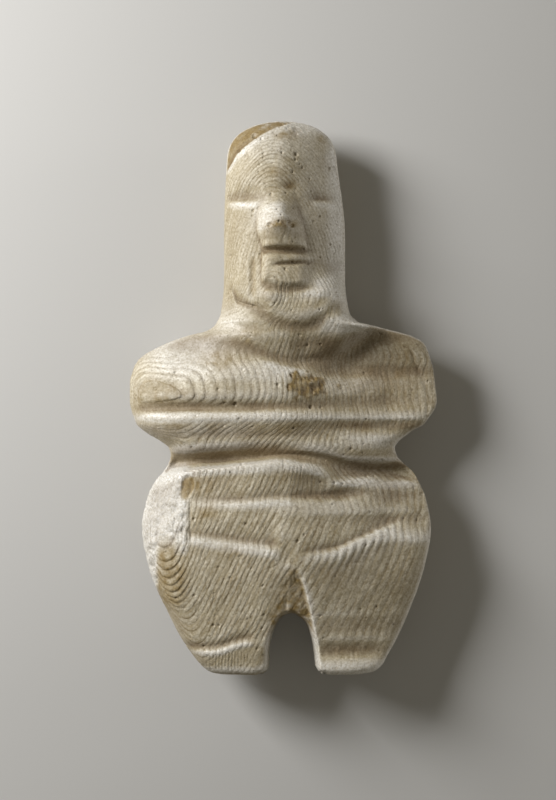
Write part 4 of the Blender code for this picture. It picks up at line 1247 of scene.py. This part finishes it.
# %% Helpers for node groups
def new_group(name, inputs, outputs):
    """A shader group with (name, type, default) inputs and float outputs."""
    group = bpy.data.node_groups.new(name, "ShaderNodeTree")
    for socket_name, kind, default in inputs:
        socket = group.interface.new_socket(socket_name, in_out="INPUT", socket_type=kind)
        socket.default_value = default
    for socket_name in outputs:
        group.interface.new_socket(socket_name, in_out="OUTPUT", socket_type="NodeSocketFloat")
    return group, group.nodes.new("NodeGroupInput"), group.nodes.new("NodeGroupOutput")


def connect(tree, value, socket):
    """Link an output to a socket, or set the socket's own value."""
    if isinstance(value, bpy.types.NodeSocket):
        tree.links.new(value, socket)
    else:
        socket.default_value = value


def maths(tree, operation, *values, clamp=False):
    node = tree.nodes.new("ShaderNodeMath")
    node.operation = operation
    node.use_clamp = clamp
    for socket, value in zip(node.inputs, values):
        connect(tree, value, socket)
    return node.outputs[0]


def mixed(tree, kind, factor, a, b):
    """Mix of two colours by a mask."""
    node = tree.nodes.new("ShaderNodeMix")
    node.data_type = "RGBA"
    node.blend_type = kind
    connect(tree, factor, node.inputs["Factor"])
    connect(tree, a, node.inputs[6])
    connect(tree, b, node.inputs[7])
    return node.outputs[2]


def noise(tree, vector, scale, detail):
    node = tree.nodes.new("ShaderNodeTexNoise")
    tree.links.new(vector, node.inputs["Vector"])
    node.inputs["Scale"].default_value = scale
    node.inputs["Detail"].default_value = detail
    return node.outputs["Fac"]


PLACE_INPUT = ("Place", "NodeSocketVector", (0.0, 0.0, 0.0))
print("helpers ready")

# %% [markdown]
# ## Growth rings as a group
#
# Each layer has a tone of its own, so one ring is grey and the next is ivory. Noise
# that is stretched along the layers gives them fine fibres. The group takes the layer
# count and gives a groove, a crest, a tone and a height.

# %% Growth rings
GROOVE_SHARPNESS = 2.2
CREST_SHARPNESS = 1.5

rings_group, ring_in, ring_out = new_group(
    "Growth rings", (("Layer", "NodeSocketFloat", 0.0), PLACE_INPUT, ("Strength", "NodeSocketFloat", 1.0)),
    ("Groove", "Crest", "Tone", "Height"))
count = ring_in.outputs["Layer"]
strength = ring_in.outputs["Strength"]
split = rings_group.nodes.new("ShaderNodeSeparateXYZ")
connect(rings_group, ring_in.outputs["Place"], split.inputs[0])


def fibres(per_layer, per_metre, detail):
    """Noise that runs along the layers."""
    along = rings_group.nodes.new("ShaderNodeCombineXYZ")
    connect(rings_group, maths(rings_group, "MULTIPLY", count, per_layer), along.inputs["X"])
    connect(rings_group, maths(rings_group, "MULTIPLY", split.outputs["X"], per_metre), along.inputs["Y"])
    connect(rings_group, maths(rings_group, "MULTIPLY", split.outputs["Y"], per_metre), along.inputs["Z"])
    return noise(rings_group, along.outputs[0], 1.0, detail)


centred = maths(rings_group, "ABSOLUTE", maths(
    rings_group, "MULTIPLY_ADD", maths(rings_group, "FRACT", count), 2.0, -1.0))
ring_groove = maths(rings_group, "POWER", centred, GROOVE_SHARPNESS)
ring_crest = maths(rings_group, "POWER", maths(rings_group, "SUBTRACT", 1.0, centred), CREST_SHARPNESS)
random_tone = rings_group.nodes.new("ShaderNodeTexWhiteNoise")
random_tone.noise_dimensions = "1D"
connect(rings_group, maths(rings_group, "FLOOR", count), random_tone.inputs["W"])
coarse_fibre = fibres(2.6, 900.0, 3.0)
fine_fibre = fibres(6.5, 1800.0, 2.0)
fibre_tone = maths(rings_group, "MULTIPLY_ADD", coarse_fibre, 2.0, maths(
    rings_group, "MULTIPLY_ADD", fine_fibre, 1.3, -1.42))
tone = maths(rings_group, "ADD", maths(
    rings_group, "MULTIPLY", random_tone.outputs["Value"], 0.5), fibre_tone, clamp=True)
lift = maths(rings_group, "MULTIPLY_ADD", coarse_fibre, 1.6, maths(
    rings_group, "MULTIPLY_ADD", ring_groove, -0.8, maths(rings_group, "MULTIPLY", fine_fibre, 0.9)))
lift_share = maths(rings_group, "MULTIPLY_ADD", strength, 0.8, 0.2)
connect(rings_group, maths(rings_group, "MULTIPLY", ring_groove, strength), ring_out.inputs["Groove"])
connect(rings_group, maths(rings_group, "MULTIPLY", ring_crest, strength), ring_out.inputs["Crest"])
connect(rings_group, tone, ring_out.inputs["Tone"])
connect(rings_group, maths(rings_group, "MULTIPLY", lift, lift_share), ring_out.inputs["Height"])
print("group:", rings_group.name)

# %% [markdown]
# ## Pores and grain as a group
#
# Old shell is dotted with pin-prick pores. A fine noise is cut off low, so only its
# deepest dips become pores. A finer one gives the grain, and chalky places get a
# coarser grain on top.

# %% Pores and grain
pores_group, pore_in, pore_out = new_group(
    "Pores and grain", (PLACE_INPUT, ("Chalkiness", "NodeSocketFloat", 0.0)), ("Pore", "Height"))
spot = noise(pores_group, pore_in.outputs["Place"], 2600.0, 2.0)
pore = maths(pores_group, "MULTIPLY", maths(pores_group, "SUBTRACT", 0.36, spot), 12.0, clamp=True)
fine = noise(pores_group, pore_in.outputs["Place"], 5200.0, 3.0)
coarse = noise(pores_group, pore_in.outputs["Place"], 1500.0, 4.0)
chalky = maths(pores_group, "MULTIPLY", coarse, pore_in.outputs["Chalkiness"])
grain_height = maths(pores_group, "MULTIPLY_ADD", fine, 0.25, maths(pores_group, "MULTIPLY", pore, -0.6))
connect(pores_group, pore, pore_out.inputs["Pore"])
connect(pores_group, maths(pores_group, "MULTIPLY_ADD", chalky, 1.6, grain_height), pore_out.inputs["Height"])
print("group:", pores_group.name)

# %% [markdown]
# ## Earth and painted shade as a group
#
# Earth lies in low places and in the grooves of the rings, but never evenly. The low-place
# mask also carries painted shade. A broad noise breaks it into patches, strongly in the
# grooves and only a little in the folds.

# %% Earth and painted shade in low places
earth_and_shade_group, earth_and_shade_in, earth_and_shade_out = new_group(
    "Earth and painted shade in low places",
    (PLACE_INPUT, ("Low", "NodeSocketFloat", 0.0), ("Groove", "NodeSocketFloat", 0.0)), ("Mask",))
cloud = noise(earth_and_shade_group, earth_and_shade_in.outputs["Place"], 160.0, 4.0)
clump = maths(earth_and_shade_group, "MULTIPLY", maths(earth_and_shade_group, "SUBTRACT", cloud, 0.42), 3.0, clamp=True)
in_groove = maths(earth_and_shade_group, "MULTIPLY", earth_and_shade_in.outputs["Groove"],
                  maths(earth_and_shade_group, "MULTIPLY_ADD", clump, 0.5, 0.2))
in_fold = maths(earth_and_shade_group, "MULTIPLY", earth_and_shade_in.outputs["Low"],
                maths(earth_and_shade_group, "MULTIPLY_ADD", clump, 0.4, 0.6))
connect(earth_and_shade_group, maths(earth_and_shade_group, "MAXIMUM", in_groove, in_fold), earth_and_shade_out.inputs["Mask"])
print("group:", earth_and_shade_group.name)

# %% [markdown]
# ## The shell material
#
# The colour is laid like glazes, from the bottom up: bare shell, layers, grooves and
# crests, rubbed skin with painted highlights, chalk, ochre with some painted shade, earth
# with painted shade, pores, and a fine grain that darkens. Each coat has a mask and a
# strength. Rubbed places are a little glossier, earth is matt.

# %% Masks for the coats
material = bpy.data.materials.new("carved_shell")
material.use_nodes = True
tree = material.node_tree
surface = tree.nodes["Principled BSDF"]
here = tree.nodes.new("ShaderNodeTexCoord").outputs["Object"]


def attribute_value(name):
    node = tree.nodes.new("ShaderNodeAttribute")
    node.attribute_name = name
    return node.outputs["Fac"]


def grouped(group, **values):
    node = tree.nodes.new("ShaderNodeGroup")
    node.node_tree = group
    for name, value in values.items():
        connect(tree, value, node.inputs[name])
    return node.outputs


def spread_noise(scale, detail, gain, offset):
    """Noise with its contrast raised."""
    return maths(tree, "MULTIPLY_ADD", noise(tree, here, scale, detail), gain, offset, clamp=True)


ring_share = attribute_value("ring_strength")
ring = grouped(rings_group, Layer=attribute_value("layer"), Place=here, Strength=ring_share)
pores = grouped(pores_group, Place=here, Chalkiness=attribute_value("chalk"))
earth_and_shade_mask = grouped(earth_and_shade_group, Place=here, Low=attribute_value("low_earth_and_shade"), Groove=ring["Groove"])["Mask"]
broad = noise(tree, here, 70.0, 4.0)
visible = maths(tree, "MULTIPLY_ADD", ring_share, 0.5, 0.22, clamp=True)
mottled = maths(tree, "MULTIPLY", attribute_value("stain_and_shade"), maths(
    tree, "MULTIPLY_ADD", noise(tree, here, 900.0, 3.0), 2.6, -0.45), clamp=True)
print("masks ready for", material.name)

# %% [markdown]
# ## The coats
#
# The coats lie in one table, in the order in which they go on: mask, strength and
# colour. Painting by table keeps every colour in one place, where it is easy to tune.

# %% Coats of colour
BARE_DARK = (0.45, 0.38, 0.25, 1.0)
BARE_LIGHT = (0.60, 0.535, 0.395, 1.0)
BARE_BLOTCH = (0.36, 0.285, 0.15, 1.0)
LAYER_LIGHT = (0.83, 0.785, 0.66, 1.0)
LAYER_DARK = (0.29, 0.22, 0.10, 1.0)
GRAIN_SHADE = (0.55, 0.50, 0.40, 1.0)
COATS = (
    (ring["Groove"], 0.28, (0.26, 0.19, 0.10, 1.0)),              # brown grooves
    (ring["Crest"], 0.45, (0.79, 0.74, 0.615, 1.0)),              # ivory crests
    # The rubbed coat is rubbed skin and painted highlights.
    (attribute_value("rubbed_and_highlit"), 0.8, (0.84, 0.82, 0.775, 1.0)),     # rubbed skin
    (attribute_value("chalk"), 0.88, (0.82, 0.81, 0.785, 1.0)),   # chalk
    # The ochre coat also carries painted shade on the right chest.
    (mottled, 1.0, (0.31, 0.225, 0.095, 1.0)),                    # ochre
    # The earth coat is earth and painted shade.
    (earth_and_shade_mask, 0.88, (0.195, 0.132, 0.068, 1.0)),                    # earth
    (pores["Pore"], 0.45, (0.22, 0.155, 0.08, 1.0)),              # pores
)


def coat(mask, strength, below, colour):
    """One glaze over the colour below it."""
    return mixed(tree, "MIX", maths(tree, "MULTIPLY", mask, strength), below, colour)


bare = mixed(tree, "MIX", broad, BARE_DARK, BARE_LIGHT)
bare = coat(spread_noise(420.0, 4.0, 2.4, -0.7), 0.45, bare, BARE_BLOTCH)
colour = mixed(tree, "MIX", visible, bare, coat(ring["Tone"], 0.95, LAYER_LIGHT, LAYER_DARK))
for mask, strength, tint in COATS:
    colour = coat(mask, strength, colour, tint)
grains = maths(tree, "MULTIPLY", spread_noise(3400.0, 2.0, 2.2, -0.6), 0.8)
connect(tree, mixed(tree, "MULTIPLY", grains, colour, GRAIN_SHADE), surface.inputs["Base Color"])
print(len(COATS) + 3, "coats of colour")

# %% [markdown]
# ## Gloss and fine bump
#
# The relief that can be seen is in the mesh. A weak bump adds only what is finer than
# its triangles: fibres and pores, a few hundredths of a millimetre deep.

# %% Gloss and fine bump
BUMP_HEIGHT = 0.00006

surface.inputs["Metallic"].default_value = 0.0
surface.inputs["Specular IOR Level"].default_value = 0.4
matt = maths(tree, "MULTIPLY_ADD", broad, 0.16, 0.42)
matt = maths(tree, "MULTIPLY_ADD", attribute_value("rubbed_and_highlit"), -0.14, matt)
connect(tree, maths(tree, "MULTIPLY_ADD", earth_and_shade_mask, 0.2, matt), surface.inputs["Roughness"])
bump = tree.nodes.new("ShaderNodeBump")
bump.inputs["Strength"].default_value = 0.8
bump.inputs["Distance"].default_value = BUMP_HEIGHT
connect(tree, maths(tree, "ADD", ring["Height"], pores["Height"]), bump.inputs["Height"])
connect(tree, bump.outputs["Normal"], surface.inputs["Normal"])
idol.data.materials.clear()
idol.data.materials.append(material)
print("material:", material.name)

# %% [markdown]
# ## The table
#
# A plain pale table top, so wide that its edge is never seen. One flat face is enough.

# %% Table
TABLE_REACH = 1.5                 # metres from the middle to each edge

table_mesh = bpy.data.meshes.new("table top")
table_corners = [(across * TABLE_REACH, along * TABLE_REACH, 0.0)
                 for across, along in ((-1.0, -1.0), (1.0, -1.0), (1.0, 1.0), (-1.0, 1.0))]
table_mesh.from_pydata(table_corners, [], [(0, 1, 2, 3)])
table = bpy.data.objects.new("table top", table_mesh)
bpy.context.scene.collection.objects.link(table)
table_material = bpy.data.materials.new("table_matt")
table_material.use_nodes = True
table_surface = table_material.node_tree.nodes["Principled BSDF"]
table_surface.inputs["Base Color"].default_value = (0.56, 0.552, 0.535, 1.0)
table_surface.inputs["Roughness"].default_value = 0.9
table_surface.inputs["Specular IOR Level"].default_value = 0.1
table.data.materials.append(table_material)
print("table is", 2.0 * TABLE_REACH, "m wide")

# %% [markdown]
# ## Light
#
# Relief this low only shows in light that grazes it. One small lamp stands low at the
# upper left, a weaker one draws a thin rim along the right side, and a dim warm room
# keeps the shadows open.


# %% Lamps
def lamp(name, direction, distance, size, power):
    """A square area lamp that looks at the middle of the figure."""
    light = bpy.data.lights.new(name, "AREA")
    light.size = size
    light.energy = power
    item = bpy.data.objects.new(name, light)
    bpy.context.scene.collection.objects.link(item)
    direction = np.array(direction) / np.linalg.norm(direction)
    item.location = tuple(direction * distance)
    item.rotation_euler = (-item.location).to_track_quat("-Z", "Y").to_euler()
    return item


lamp("key lamp", (-0.75, 0.43, 0.54), 0.26, 0.11, 0.86)
lamp("right lamp", (0.97, 0.15, 0.07), 0.9, 0.2, 2.4)
world = bpy.data.worlds.new("room")
world.use_nodes = True
world.node_tree.nodes["Background"].inputs["Color"].default_value = (1.0, 0.93, 0.76, 1.0)
world.node_tree.nodes["Background"].inputs["Strength"].default_value = 0.14
bpy.context.scene.world = world
bpy.context.scene.view_settings.view_transform = "Standard"
print("two lamps and a dim room")

# %% [markdown]
# ## The camera
#
# The figure lies on its back and the camera looks straight down on it, with a long
# lens from a third of a metre, so that nothing is drawn out of shape.

# %% Camera
CAMERA_X = -0.00076
CAMERA_Y = MIDDLE_Y - 0.0005
CAMERA_DISTANCE = 0.3233          # from the plane of the rim

camera_data = bpy.data.cameras.new("camera")
camera_data.lens = 100.0
camera_data.sensor_width = 36.0
camera_data.clip_start = 0.01
camera = bpy.data.objects.new("camera", camera_data)
camera.location = (CAMERA_X, CAMERA_Y, REST_DEPTH * MM + CAMERA_DISTANCE)
camera.rotation_euler = (0.0, 0.0, 0.0)
bpy.context.scene.collection.objects.link(camera)
bpy.context.scene.camera = camera
print("camera", round(camera.location.z * 1000.0), "mm above the table")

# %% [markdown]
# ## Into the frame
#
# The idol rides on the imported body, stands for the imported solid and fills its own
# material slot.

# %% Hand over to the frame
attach(idol, "root")
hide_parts("figurine")
